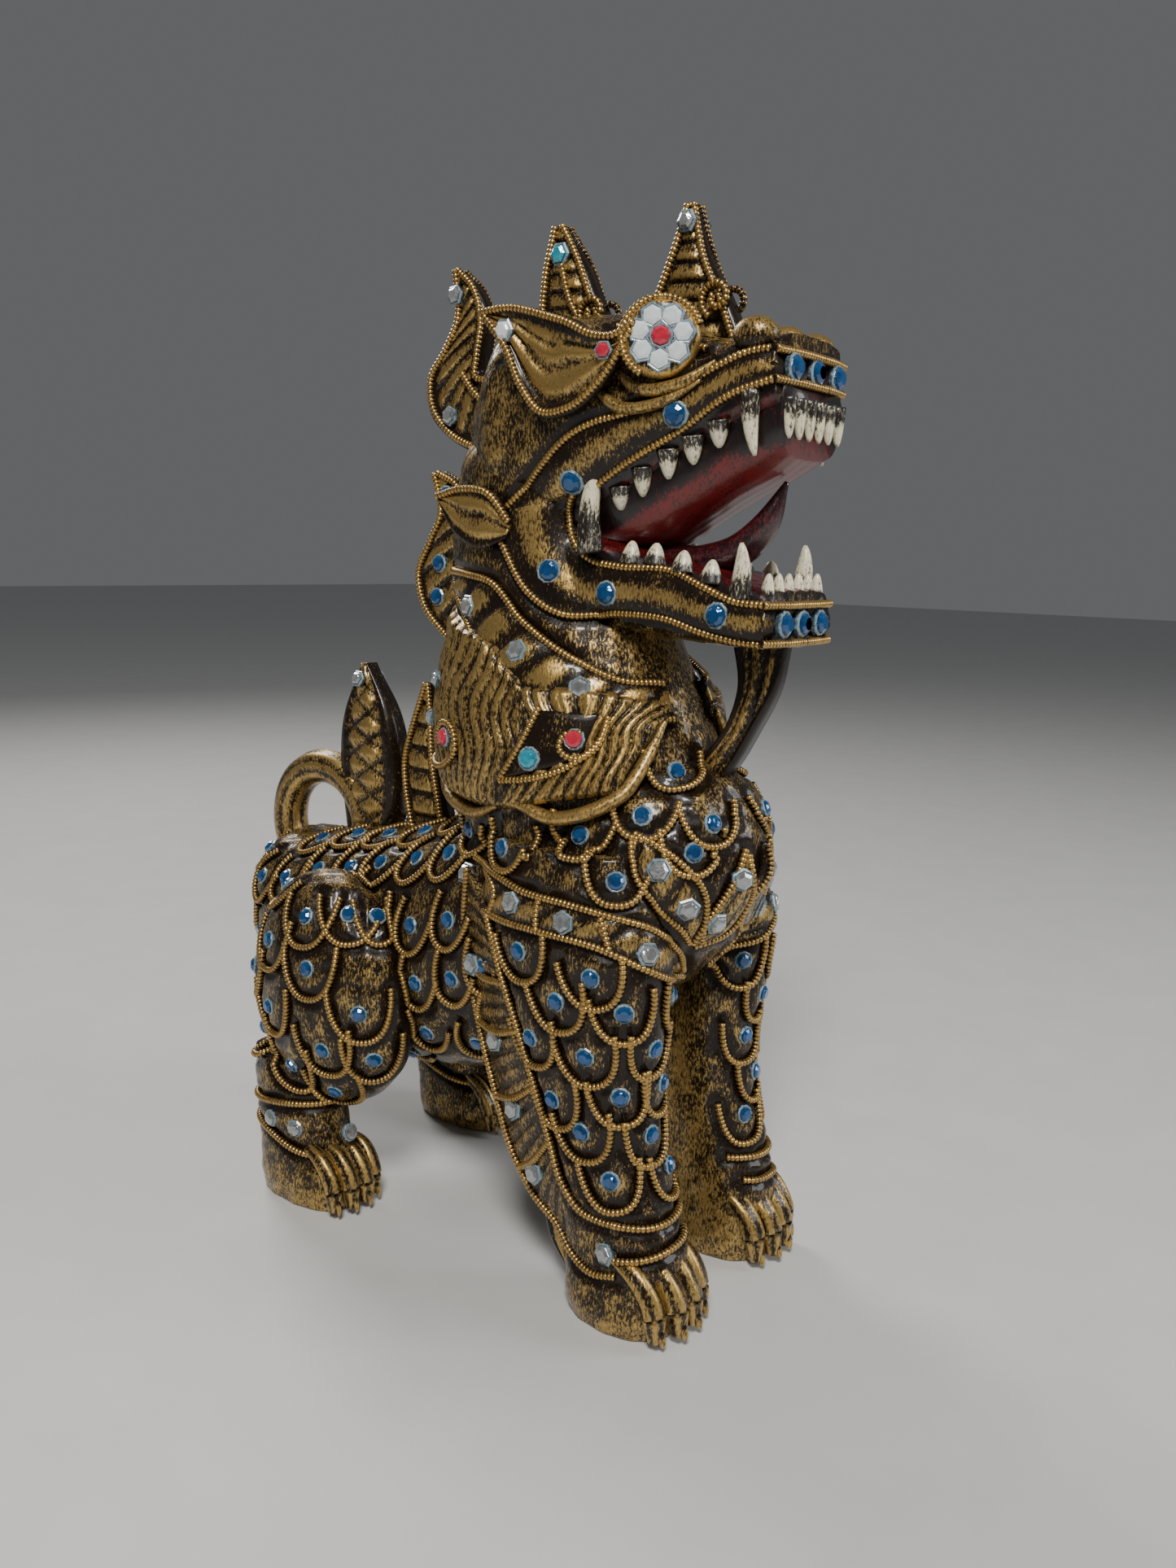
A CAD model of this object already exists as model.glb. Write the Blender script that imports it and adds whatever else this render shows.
"""Carved guardian lion: dark lacquer, beaded moulding, brushed gold and set glass stones.

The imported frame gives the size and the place. Every piece is drawn in millimetres on the lion's own
drawing (it faces -Y, its left side is +X, the ground is z = 0) and a Datum carries the drawing onto
the box of the frame. Pieces are surfaces worked out with numpy as whole arrays.
"""
import logging
import math
from dataclasses import dataclass, field
from enum import Enum
from typing import ClassVar

import bpy
import numpy as np
from mathutils import Matrix, Vector

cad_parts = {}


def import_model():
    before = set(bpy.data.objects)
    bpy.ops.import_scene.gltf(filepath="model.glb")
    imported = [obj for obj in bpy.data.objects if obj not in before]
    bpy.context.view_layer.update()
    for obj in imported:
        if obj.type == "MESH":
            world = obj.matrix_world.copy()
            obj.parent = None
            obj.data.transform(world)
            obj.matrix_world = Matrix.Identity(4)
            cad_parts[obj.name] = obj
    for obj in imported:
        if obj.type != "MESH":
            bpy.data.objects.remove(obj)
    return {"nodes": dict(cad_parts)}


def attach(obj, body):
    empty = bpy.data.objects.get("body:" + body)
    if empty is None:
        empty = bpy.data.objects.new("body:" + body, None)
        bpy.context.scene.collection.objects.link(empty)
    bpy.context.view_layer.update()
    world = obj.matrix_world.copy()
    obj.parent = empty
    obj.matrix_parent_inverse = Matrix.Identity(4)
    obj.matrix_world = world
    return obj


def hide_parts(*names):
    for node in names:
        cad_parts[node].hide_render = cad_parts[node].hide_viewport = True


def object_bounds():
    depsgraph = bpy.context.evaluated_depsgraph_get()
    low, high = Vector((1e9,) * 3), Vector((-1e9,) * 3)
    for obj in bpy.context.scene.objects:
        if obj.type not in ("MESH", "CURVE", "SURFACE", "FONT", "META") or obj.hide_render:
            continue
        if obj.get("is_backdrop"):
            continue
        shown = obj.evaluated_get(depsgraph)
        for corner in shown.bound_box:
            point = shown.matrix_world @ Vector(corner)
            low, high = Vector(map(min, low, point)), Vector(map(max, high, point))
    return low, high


LOG = logging.getLogger("lion")
Array = np.ndarray


class Slot(Enum):
    """Material slots of the record."""

    GILT = "gilt_lacquer"
    BEAD = "gold_bead"
    TOOTH = "tooth_paint"
    MAROON = "maroon_lacquer"
    BLUE = "blue_glass"
    MIRROR = "mirror_glass"
    WHITE = "white_glass"
    RED = "red_glass"


class Cut(Enum):
    """How a glass stone is cut."""

    ROUND = "round"
    HEXAGON = "hexagon"
    OCTAGON = "octagon"


# ------------------------------------------------------------------ curves and tables


def smooth_table(stations: Array, rows: Array, at: Array) -> Array:
    """Read a table between its rows with a monotone cubic, so no value overshoots its neighbours.

    Args:
        stations: rising station of each row, shape (n,).
        rows: values at the stations, shape (n, k).
        at: stations to read, any shape.

    Returns:
        Values with shape at.shape + (k,).
    """
    gap = np.diff(stations)[:, None]
    rise = np.diff(rows, axis=0) / gap
    slope = np.empty_like(rows)
    slope[0], slope[-1] = rise[0], rise[-1]
    both = rise[:-1] * rise[1:]
    total = rise[:-1] + rise[1:]
    slope[1:-1] = np.where(both > 0, 2 * both / np.where(total == 0, 1, total), 0)
    at = np.clip(at, stations[0], stations[-1])
    index = np.clip(np.searchsorted(stations, at) - 1, 0, len(stations) - 2)
    step = gap[index]
    t = ((at - stations[index]) / step[..., 0])[..., None]
    low, high = rows[index], rows[index + 1]
    return ((2 * t**3 - 3 * t**2 + 1) * low + (t**3 - 2 * t**2 + t) * step * slope[index]
            + (3 * t**2 - 2 * t**3) * high + (t**3 - t**2) * step * slope[index + 1])


def through(points: Array, count: int) -> Array:
    """Even points along a smooth curve through the given points (cubic, slopes from neighbours).

    Args:
        points: points to pass through, shape (n, k).
        count: how many points to return, evenly spaced along the curve.

    Returns:
        Array of shape (count, k).
    """
    points = np.asarray(points, float)
    gaps = np.linalg.norm(np.diff(points, axis=0), axis=1)
    chord = np.concatenate([[0], np.cumsum(np.maximum(gaps, 1e-6))])
    slope = np.gradient(points, chord, axis=0)
    at = np.linspace(0, chord[-1], max(8 * len(points), 4 * count))
    index = np.clip(np.searchsorted(chord, at) - 1, 0, len(points) - 2)
    step = (chord[index + 1] - chord[index])[:, None]
    t = ((at - chord[index]) / step[:, 0])[:, None]
    fine = ((2 * t**3 - 3 * t**2 + 1) * points[index] + (t**3 - 2 * t**2 + t) * step * slope[index]
            + (3 * t**2 - 2 * t**3) * points[index + 1] + (t**3 - t**2) * step * slope[index + 1])
    run = np.concatenate([[0], np.cumsum(np.linalg.norm(np.diff(fine, axis=0), axis=1))])
    even = np.linspace(0, run[-1], count)
    return np.stack([np.interp(even, run, fine[:, k]) for k in range(fine.shape[1])], axis=1)


def ramp(value: Array, low: float, high: float) -> Array:
    """Smooth step from 0 at low to 1 at high."""
    t = np.clip((value - low) / (high - low), 0, 1)
    return t * t * (3 - 2 * t)


def between(left: Array, right: Array, columns: int) -> tuple[Array, Array, Array]:
    """Grid whose points lie in proportion between two edges.

    Args:
        left: points of one edge, shape (n, 3).
        right: points of the other edge, the same shape.
        columns: how many points lie across.

    Returns:
        The grid (n, columns, 3), and the shares along (n, 1) and across (1, columns), 0 to 1.
    """
    across = np.linspace(0, 1, columns)[None, :]
    along = np.linspace(0, 1, len(left))[:, None]
    return left[:, None] * (1 - across[..., None]) + right[:, None] * across[..., None], along, across


def unit(vectors: Array) -> Array:
    """Vectors scaled to length one."""
    return vectors / np.maximum(np.linalg.norm(vectors, axis=-1, keepdims=True), 1e-9)


def length_of(points: Array) -> float:
    """Length of a run of points."""
    return float(np.linalg.norm(np.diff(points, axis=0), axis=1).sum())


def nearest(points: Array, marks: Array, block: int = 4000) -> Array:
    """Distance from each point to the nearest mark, in blocks, by the product form of distance.

    Args:
        points: where to measure from, shape (n, 3).
        marks: what to measure to, shape (m, 3).
        block: how many points are measured at once.

    Returns:
        Distances, shape (n,); 99 everywhere when there are no marks.
    """
    if len(marks) == 0:
        return np.full(len(points), 99.0)
    found = np.empty(len(points))
    square = (marks**2).sum(1)
    for start in range(0, len(points), block):
        part = points[start:start + block]
        gap = (part**2).sum(1)[:, None] + square[None] - 2 * part @ marks.T
        found[start:start + block] = np.sqrt(np.maximum(gap.min(1), 0))
    return found


# ------------------------------------------------------------------ meshes


@dataclass
class Patch:
    """Closed surface: drawing points, four- and three-sided faces, gilding, material of each face."""

    points: Array
    quads: Array
    tris: Array
    gild: Array
    quad_marks: Array
    tri_marks: Array

    def corners(self) -> Array:
        """Every face as triangles."""
        return np.concatenate([self.quads[:, [0, 1, 2]], self.quads[:, [0, 2, 3]], self.tris])

    def turned_out(self) -> "Patch":
        """The same surface with its faces pointing outwards, judged by its signed volume."""
        a, b, c = (self.points[self.corners()[:, k]] for k in range(3))
        if np.einsum("ij,ij->", a, np.cross(b, c)) < 0:
            self.quads, self.tris = self.quads[:, ::-1], self.tris[:, ::-1]
        return self

    def mirrored(self) -> "Patch":
        """The same surface on the other side of the median plane."""
        return Patch(self.points * [-1, 1, 1], self.quads[:, ::-1], self.tris[:, ::-1], self.gild,
                     self.quad_marks, self.tri_marks)


def join(patches: list[Patch]) -> Patch:
    """Several closed surfaces as one.

    Args:
        patches: the surfaces, which keep their order.

    Returns:
        One patch with every face of them.
    """
    starts = np.cumsum([0] + [len(patch.points) for patch in patches])
    return Patch(np.concatenate([p.points for p in patches]),
                 np.concatenate([p.quads + s for p, s in zip(patches, starts)]),
                 np.concatenate([p.tris + s for p, s in zip(patches, starts)]),
                 np.concatenate([p.gild for p in patches]),
                 np.concatenate([p.quad_marks for p in patches]),
                 np.concatenate([p.tri_marks for p in patches]))


def both_sides(*patches: Patch) -> Patch:
    """Surfaces with their mirror images."""
    return join([side for patch in patches for side in (patch, patch.mirrored())])


def tube(rings: Array, gild: Array | float = 0.5, marks: Array | int = 0) -> Patch:
    """Closed surface over a grid of rings, with a pole at each end.

    Args:
        rings: points of shape (n along, m round, 3).
        gild: gilding of the same grid, or one value.
        marks: material of each band between rings (n - 1), or one for all.

    Returns:
        The patch, facing outwards.
    """
    n, m, _ = rings.shape
    gild = np.broadcast_to(gild, (n, m))
    ends = np.stack([rings[0].mean(0), rings[-1].mean(0)])
    points = np.concatenate([rings.reshape(-1, 3), ends])
    level = np.concatenate([gild.ravel(), [gild[0].mean(), gild[-1].mean()]])
    row, column = np.meshgrid(np.arange(n - 1), np.arange(m), indexing="ij")
    after = (column + 1) % m
    quads = np.stack([row * m + column, row * m + after, (row + 1) * m + after, (row + 1) * m + column], -1)
    start, around = np.arange(m), (np.arange(m) + 1) % m
    first = np.stack([np.full(m, n * m), around, start], -1)
    last = np.stack([np.full(m, n * m + 1), start + (n - 1) * m, around + (n - 1) * m], -1)
    bands = np.repeat(np.broadcast_to(marks, n - 1), m)
    caps = np.repeat([bands[0], bands[-1]], m)
    return Patch(points, quads.reshape(-1, 4), np.concatenate([first, last]), level, bands, caps).turned_out()


class Datum:
    """Carries the drawing in millimetres onto the frame's box in metres."""

    def __init__(self, bounds: tuple, low: tuple, high: tuple) -> None:
        """Scale and shift that carry the drawing's box onto the frame's box."""
        lowest, highest = np.array(bounds[0]), np.array(bounds[1])
        low, high = np.array(low), np.array(high)
        self.scale = (highest - lowest) / (high - low)
        self.shift = lowest - low * self.scale

    def metres(self, points: Array) -> Array:
        """Drawing points as metres in the frame."""
        return points * self.scale + self.shift


class Maker:
    """Makes each finished object: mesh, materials, body, slot and what it replaces."""

    def __init__(self, datum: Datum) -> None:
        """Keep the datum and count the triangles."""
        self.datum = datum
        self.triangles = 0

    def make(self, name: str, patch: Patch, materials: list, slot: Slot, replaces: tuple = (),
             faceted: bool = False) -> None:
        """Put a patch into the scene as one object.

        Args:
            name: the object's name.
            patch: the surface.
            materials: its materials; the patch's marks choose one for each face.
            slot: the record's slot its finish is taken from.
            replaces: frame nodes that it stands for.
            faceted: whether its faces are shaded flat, as cut glass is.
        """
        mesh = bpy.data.meshes.new(name)
        mesh.vertices.add(len(patch.points))
        mesh.vertices.foreach_set("co", self.datum.metres(patch.points).astype(np.float32).ravel())
        corners = np.concatenate([patch.quads.ravel(), patch.tris.ravel()]).astype(np.int32)
        sides = np.concatenate([np.full(len(patch.quads), 4), np.full(len(patch.tris), 3)])
        mesh.loops.add(len(corners))
        mesh.loops.foreach_set("vertex_index", corners)
        mesh.polygons.add(len(sides))
        starts = np.concatenate([[0], np.cumsum(sides)[:-1]]).astype(np.int32)
        mesh.polygons.foreach_set("loop_start", starts)
        for material in materials:
            mesh.materials.append(material)
        marks = np.concatenate([patch.quad_marks, patch.tri_marks]).astype(np.int32)
        mesh.polygons.foreach_set("material_index", marks)
        mesh.update(calc_edges=True)
        mesh.polygons.foreach_set("use_smooth", np.full(len(sides), not faceted))
        mesh.attributes.new("gild", "FLOAT", "POINT").data.foreach_set("value", patch.gild.astype(np.float32))
        thing = bpy.data.objects.new(name, mesh)
        bpy.context.scene.collection.objects.link(thing)
        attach(thing, "root")
        if replaces:
            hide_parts(*replaces)
        count = 2 * len(patch.quads) + len(patch.tris)
        self.triangles += count
        LOG.info("%s: %d triangles", name, count)


# ------------------------------------------------------------------ carved masses


@dataclass
class Carved:
    """Mass carved round a straight spine: superellipse rings strung along y or z.

    Each row is station, x of the middle, other middle, half width, other half, squareness.
    """

    rows: list[tuple[float, ...]]
    upright: bool = False

    def __post_init__(self) -> None:
        """Sort the rows by station."""
        table = np.array(sorted(self.rows), float)
        self.stations, self.table = table[:, 0], table[:, 1:]
        self.along = 2 if self.upright else 1
        self.other = 1 if self.upright else 2

    def field(self, points: Array) -> Array:
        """Below 0 inside: superellipse radius less one, plus how far past the ends the point is.

        Args:
            points: where to read it, shape (..., 3).

        Returns:
            The field, shape (...).
        """
        station = points[..., self.along]
        row = smooth_table(self.stations, self.table, station)
        past = np.maximum(self.stations[0] - station, station - self.stations[-1])
        wide = np.abs(points[..., 0] - row[..., 0]) / row[..., 2]
        deep = np.abs(points[..., self.other] - row[..., 1]) / row[..., 3]
        square = row[..., 4]
        return (wide**square + deep**square)**(1 / square) - 1 + np.maximum(past, 0) / 8

    def surface(self, station: Array, angle: Array) -> Array:
        """Points on the skin: angle runs from +x towards the second axis.

        The reach at an angle is ((|cos| / half width)^q + (|sin| / half height)^q)^(-1/q), with q the
        squareness of the ring.

        Args:
            station: place along the spine, of any shape.
            angle: angle round the spine, of a shape that goes with it.

        Returns:
            Points of that shape + (3,).
        """
        station, angle = np.broadcast_arrays(station, angle)
        row = smooth_table(self.stations, self.table, station)
        c, s = np.cos(angle), np.sin(angle)
        square = row[..., 4]
        reach = ((np.abs(c) / row[..., 2])**square + (np.abs(s) / row[..., 3])**square)**(-1 / square)
        points = np.empty(station.shape + (3,))
        points[..., 0] = row[..., 0] + reach * c
        points[..., self.other] = row[..., 1] + reach * s
        points[..., self.along] = station
        return points

    def skin(self, along: int, around: int) -> Array:
        """Grid of skin points, closer together towards both ends.

        Args:
            along: how many rings.
            around: how many points in each ring.

        Returns:
            Points of shape (along, around, 3).
        """
        t = np.linspace(0, 1, along)
        t = t + 0.06 * np.sin(2 * math.pi * t) * -1
        station = self.stations[0] + t * (self.stations[-1] - self.stations[0])
        angle = np.linspace(0, 2 * math.pi, around, endpoint=False)
        return self.surface(station[:, None], angle[None])


@dataclass
class Ball:
    """Egg-shaped mass: middle and half sizes."""

    middle: tuple[float, float, float]
    half: tuple[float, float, float]

    def field(self, points: Array) -> Array:
        """Below 0 inside."""
        return np.sqrt((((points - np.array(self.middle)) / np.array(self.half))**2).sum(-1)) - 1

    def skin(self, along: int, around: int) -> Array:
        """Grid of skin points from pole to pole along z.

        Args:
            along: how many rings.
            around: how many points in each ring.

        Returns:
            Points of shape (along, around, 3).
        """
        tilt = np.linspace(0.02, math.pi - 0.02, along)[:, None]
        angle = np.linspace(0, 2 * math.pi, around, endpoint=False)[None]
        shape = np.stack(np.broadcast_arrays(np.sin(tilt) * np.cos(angle), np.sin(tilt) * np.sin(angle),
                                             -np.cos(tilt)), -1)
        return np.array(self.middle) + shape * np.array(self.half)


class Union:
    """Several masses taken as one body, for landing mouldings and stones on."""

    def __init__(self, masses: list) -> None:
        """Keep the masses."""
        self.masses = masses

    def field(self, points: Array) -> Array:
        """Below 0 inside any mass."""
        return np.minimum.reduce([mass.field(points) for mass in self.masses])

    def normal(self, points: Array) -> Array:
        """Outward normals: the slope of the field by central steps of 0.2 mm."""
        steps = np.eye(3) * 0.2
        slope = [self.field(points + step) - self.field(points - step) for step in steps]
        return unit(np.stack(slope, -1))

    def land(self, points: Array, way: Array, reach: float = 45.0) -> Array:
        """First meeting with the body of a line through each point.

        Args:
            points: points near the skin.
            way: direction the line travels, one vector or one for each point.
            reach: how far before and after the point the line is searched.

        Returns:
            The meeting points; where the line misses, the point nearest to the body on it.
        """
        way = np.broadcast_to(unit(np.asarray(way, float)), points.shape)
        steps = np.linspace(-reach, reach, 181)
        value = self.field(points[..., None, :] + steps[:, None] * way[..., None, :])
        inside = value < 0
        first = np.where(inside.any(-1), inside.argmax(-1), value.argmin(-1))
        before = np.maximum(first - 1, 0)
        high = np.take_along_axis(value, before[..., None], -1)[..., 0]
        low = np.take_along_axis(value, first[..., None], -1)[..., 0]
        share = np.where(inside.any(-1) & (high > low), high / np.maximum(high - low, 1e-9), 1)
        travel = steps[before] + np.clip(share, 0, 1) * (steps[first] - steps[before])
        return points + travel[..., None] * way

    def settle(self, points: Array, rounds: int = 6) -> Array:
        """Move points onto the skin by Newton steps along the field's slope.

        Args:
            points: points near the skin.
            rounds: how many steps are taken, each at most 4 mm.

        Returns:
            The points on the skin.
        """
        steps = np.eye(3) * 0.2
        for _ in range(rounds):
            slope = np.stack([self.field(points + s) - self.field(points - s) for s in steps], -1) / 0.4
            size = np.maximum((slope**2).sum(-1, keepdims=True), 1e-8)
            move = -self.field(points)[..., None] * slope / size
            points = points + np.clip(move, -4, 4)
        return points


# ------------------------------------------------------------------ beaded moulding


@dataclass
class Moulding:
    """Lacquer thread pressed into beads: radius of the thread and length of one bead."""

    radius: float = 1.25
    bead: float = 1.45
    rise: float = 0.4

    def run(self, path: Array, normal: Array) -> Patch:
        """Thread along a path.

        The section is a circle of eight points. Its radius follows the size of a sine along the
        path, so that each bead is round and a narrow groove parts it from the next. The same value
        is the gilding: bright on the bead, dark in the groove.

        Args:
            path: points of the run on the skin.
            normal: outward direction at each of them.

        Returns:
            The thread as a patch.
        """
        beads = max(2, round(length_of(path) / self.bead))
        count = 4 * beads + 1
        both = through(np.concatenate([path, normal], axis=1), count)
        middle, up = both[:, :3], unit(both[:, 3:])
        ahead = unit(np.gradient(middle, axis=0))
        side = unit(np.cross(ahead, up))
        up = np.cross(side, ahead)
        phase = np.linspace(0, beads * math.pi, count)
        height = np.abs(np.sin(phase))
        radius = self.radius * (0.72 + 0.3 * height)
        radius[0] = radius[-1] = self.radius * 0.45
        angle = np.arange(8) * math.pi / 4
        around = np.cos(angle)[None, :, None] * up[:, None] + np.sin(angle)[None, :, None] * side[:, None]
        middle = middle + up * self.radius * self.rise
        rings = middle[:, None] + radius[:, None, None] * around
        gild = np.clip(0.05 + 0.7 * height[:, None] + 0.3 * np.cos(angle)[None], 0, 1)
        return tube(rings, gild)


@dataclass
class Stone:
    """Set glass stone with its ring of glue."""

    cut: Cut = Cut.ROUND
    radius: float = 2.5
    height: float = 1.8

    def outline(self) -> tuple[Array, int]:
        """Angles of the girdle and how many there are."""
        count = {Cut.ROUND: 10, Cut.HEXAGON: 6, Cut.OCTAGON: 8}[self.cut]
        return np.arange(count) * 2 * math.pi / count, count

    def set_at(self, places: Array, normals: Array, turn: float = 0.3) -> Patch:
        """Stones at many places.

        Each stone is rings of one outline: a glue ring that swells and falls, then the girdle, a
        sloped crown and a flat table. The glue takes the second material and the glass the first.

        Args:
            places: middles of the stones on the skin.
            normals: outward direction at each.
            turn: how far each stone is turned on from the one before, in radians.

        Returns:
            All the stones as one patch.
        """
        angle, count = self.outline()
        spread = np.array([1.34, 1.34, 1.16, 1.01, 0.95, 0.62, 0.54])
        rise = np.array([-0.5, 0.12, 0.36, 0.30, 0.66, 1.00, 1.00]) * self.height
        gild = np.repeat([[0.2], [0.5], [0.9], [0.3], [0.6], [1.0], [1.0]], count, axis=1)
        spin = angle[None] + turn * np.arange(len(places))[:, None]
        guide = np.where(np.abs(normals[:, 2:]) > 0.9, [[0, 1, 0]], [[0, 0, 1]])
        side = unit(np.cross(guide, normals))
        over = np.cross(normals, side)
        flat = np.cos(spin)[..., None] * side[:, None] + np.sin(spin)[..., None] * over[:, None]
        marks = np.array([1, 1, 1, 0, 0, 0])
        rings = (places[:, None, None] + self.radius * spread[None, :, None, None] * flat[:, None]
                 + rise[None, :, None, None] * normals[:, None, None])
        return join([tube(ring, gild, marks) for ring in rings])


# ------------------------------------------------------------------ shader tools


def new_group(name: str, inputs: dict[str, float], outputs: dict[str, str]) -> bpy.types.NodeTree:
    """Empty shader group with a vector input, float inputs and named outputs.

    Args:
        name: the group's name.
        inputs: each float input with its usual value.
        outputs: each output with its socket type.

    Returns:
        The group, with no nodes yet.
    """
    group = bpy.data.node_groups.new(name, "ShaderNodeTree")
    group.interface.new_socket("Vector", in_out="INPUT", socket_type="NodeSocketVector")
    for label, value in inputs.items():
        group.interface.new_socket(label, in_out="INPUT", socket_type="NodeSocketFloat").default_value = value
    for label, kind in outputs.items():
        group.interface.new_socket(label, in_out="OUTPUT", socket_type=kind)
    return group


class Wiring:
    """Short calls for adding and joining nodes in one tree."""

    def __init__(self, tree: bpy.types.NodeTree) -> None:
        """Keep the tree."""
        self.tree = tree

    def add(self, kind: str, **settings: object) -> bpy.types.Node:
        """A node with its settings; a key that names an input socket sets or joins that socket.

        Args:
            kind: the node's type.
            settings: the node's own settings, or values or sockets for its inputs.

        Returns:
            The node.
        """
        node = self.tree.nodes.new(kind)
        for key, value in settings.items():
            label = key.replace("_", " ")
            if hasattr(node, key):
                setattr(node, key, value)
            elif isinstance(value, bpy.types.NodeSocket):
                self.tree.links.new(value, node.inputs[label])
            else:
                node.inputs[label].default_value = value
        return node

    def math(self, operation: str, *values: object) -> bpy.types.NodeSocket:
        """Output of a Math node fed with numbers or sockets.

        Args:
            operation: what it works out.
            values: numbers or sockets.

        Returns:
            The output socket.
        """
        node = self.tree.nodes.new("ShaderNodeMath")
        node.operation = operation
        for socket, value in zip(node.inputs, values):
            if isinstance(value, bpy.types.NodeSocket):
                self.tree.links.new(value, socket)
            else:
                socket.default_value = value
        return node.outputs[0]

    def mix(self, factor: object, low: object, high: object) -> bpy.types.NodeSocket:
        """Colour mix of two colours or sockets.

        Args:
            factor: share of the second colour, a number or a socket.
            low: the first colour.
            high: the second colour.

        Returns:
            The output socket.
        """
        node = self.tree.nodes.new("ShaderNodeMix")
        node.data_type = "RGBA"
        for socket, value in ((node.inputs[0], factor), (node.inputs[6], low), (node.inputs[7], high)):
            if isinstance(value, bpy.types.NodeSocket):
                self.tree.links.new(value, socket)
            elif isinstance(value, tuple):
                socket.default_value = (*value, 1.0)
            else:
                socket.default_value = value
        return node.outputs[2]

    def noise(self, vector: bpy.types.NodeSocket, scale: float, detail: float = 3.0) -> bpy.types.NodeSocket:
        """Fractal noise value."""
        node = self.add("ShaderNodeTexNoise", Vector=vector, Scale=scale, Detail=detail)
        return node.outputs["Fac"]

    def join(self, source: bpy.types.NodeSocket, target: bpy.types.NodeSocket) -> None:
        """Link two sockets."""
        self.tree.links.new(source, target)


class Finish:
    """Shader groups shared by the materials, built once; the scales are waves in a metre."""

    streak = 1500.0
    speck = 4200.0
    patch = 160.0
    pit = 900.0
    sharpness = 3.2

    def __init__(self) -> None:
        """Build the dry-brush group and the ageing group."""
        self.brush = self.build_brush()
        self.age = self.build_age()

    def build_brush(self) -> bpy.types.NodeTree:
        """Gold rubbed over dark lacquer: streaked, speckled, and strongest where gilding is high."""
        group = new_group("dry_brush", {"Gild": 0.5, "Cover": 0.5, "Contrast": 1.0},
                          {"Mask": "NodeSocketFloat", "Height": "NodeSocketFloat"})
        w = Wiring(group)
        given = w.add("NodeGroupInput")
        out = w.add("NodeGroupOutput")
        stretched = w.add("ShaderNodeMapping", Vector=given.outputs["Vector"], Scale=(1.0, 1.0, 0.4))
        streak = w.noise(stretched.outputs[0], self.streak, 4.0)
        speck = w.noise(given.outputs["Vector"], self.speck, 2.0)
        patchy = w.noise(given.outputs["Vector"], self.patch, 2.0)
        blend = w.math("ADD", w.math("MULTIPLY", streak, 0.5), w.math("MULTIPLY", speck, 0.32))
        blend = w.math("ADD", blend, w.math("MULTIPLY", patchy, 0.18))
        swing = w.math("MULTIPLY", w.math("SUBTRACT", blend, 0.5), given.outputs["Contrast"])
        level = w.math("ADD", w.math("ADD", given.outputs["Gild"], given.outputs["Cover"]), -0.5)
        soft = w.add("ShaderNodeMapRange", interpolation_type="SMOOTHSTEP")
        w.join(w.math("ADD", level, w.math("MULTIPLY", swing, self.sharpness)), soft.inputs["Value"])
        soft.inputs["From Min"].default_value = 0.22
        soft.inputs["From Max"].default_value = 0.85
        w.join(soft.outputs["Result"], out.inputs["Mask"])
        w.join(blend, out.inputs["Height"])
        return group

    def build_age(self) -> bpy.types.NodeTree:
        """Slow changes of tone and fine pits."""
        group = new_group("ageing", {"Scale": 60.0}, {"Tone": "NodeSocketFloat", "Pits": "NodeSocketFloat"})
        w = Wiring(group)
        given = w.add("NodeGroupInput")
        out = w.add("NodeGroupOutput")
        slow = w.add("ShaderNodeTexNoise", Vector=given.outputs["Vector"], Scale=given.outputs["Scale"])
        pits = w.add("ShaderNodeTexVoronoi", Vector=given.outputs["Vector"], Scale=self.pit)
        w.join(slow.outputs["Fac"], out.inputs["Tone"])
        w.join(pits.outputs["Distance"], out.inputs["Pits"])
        return group

    def use(self, w: Wiring, group: bpy.types.NodeTree, **values: object) -> bpy.types.Node:
        """Place a group in a material with its own values, on Object coordinates.

        Args:
            w: wiring of the material.
            group: the shader group.
            values: its inputs, as numbers or sockets.

        Returns:
            The group's node.
        """
        node = w.tree.nodes.new("ShaderNodeGroup")
        node.node_tree = group
        place = w.add("ShaderNodeTexCoord")
        w.join(place.outputs["Object"], node.inputs["Vector"])
        for label, value in values.items():
            if isinstance(value, bpy.types.NodeSocket):
                w.join(value, node.inputs[label])
            else:
                node.inputs[label].default_value = value
        return node


def blank_material(name: str) -> tuple[bpy.types.Material, Wiring, bpy.types.Node]:
    """New node material with a Principled shader."""
    material = bpy.data.materials.new(name)
    material.use_nodes = True
    w = Wiring(material.node_tree)
    return material, w, material.node_tree.nodes["Principled BSDF"]


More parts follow.
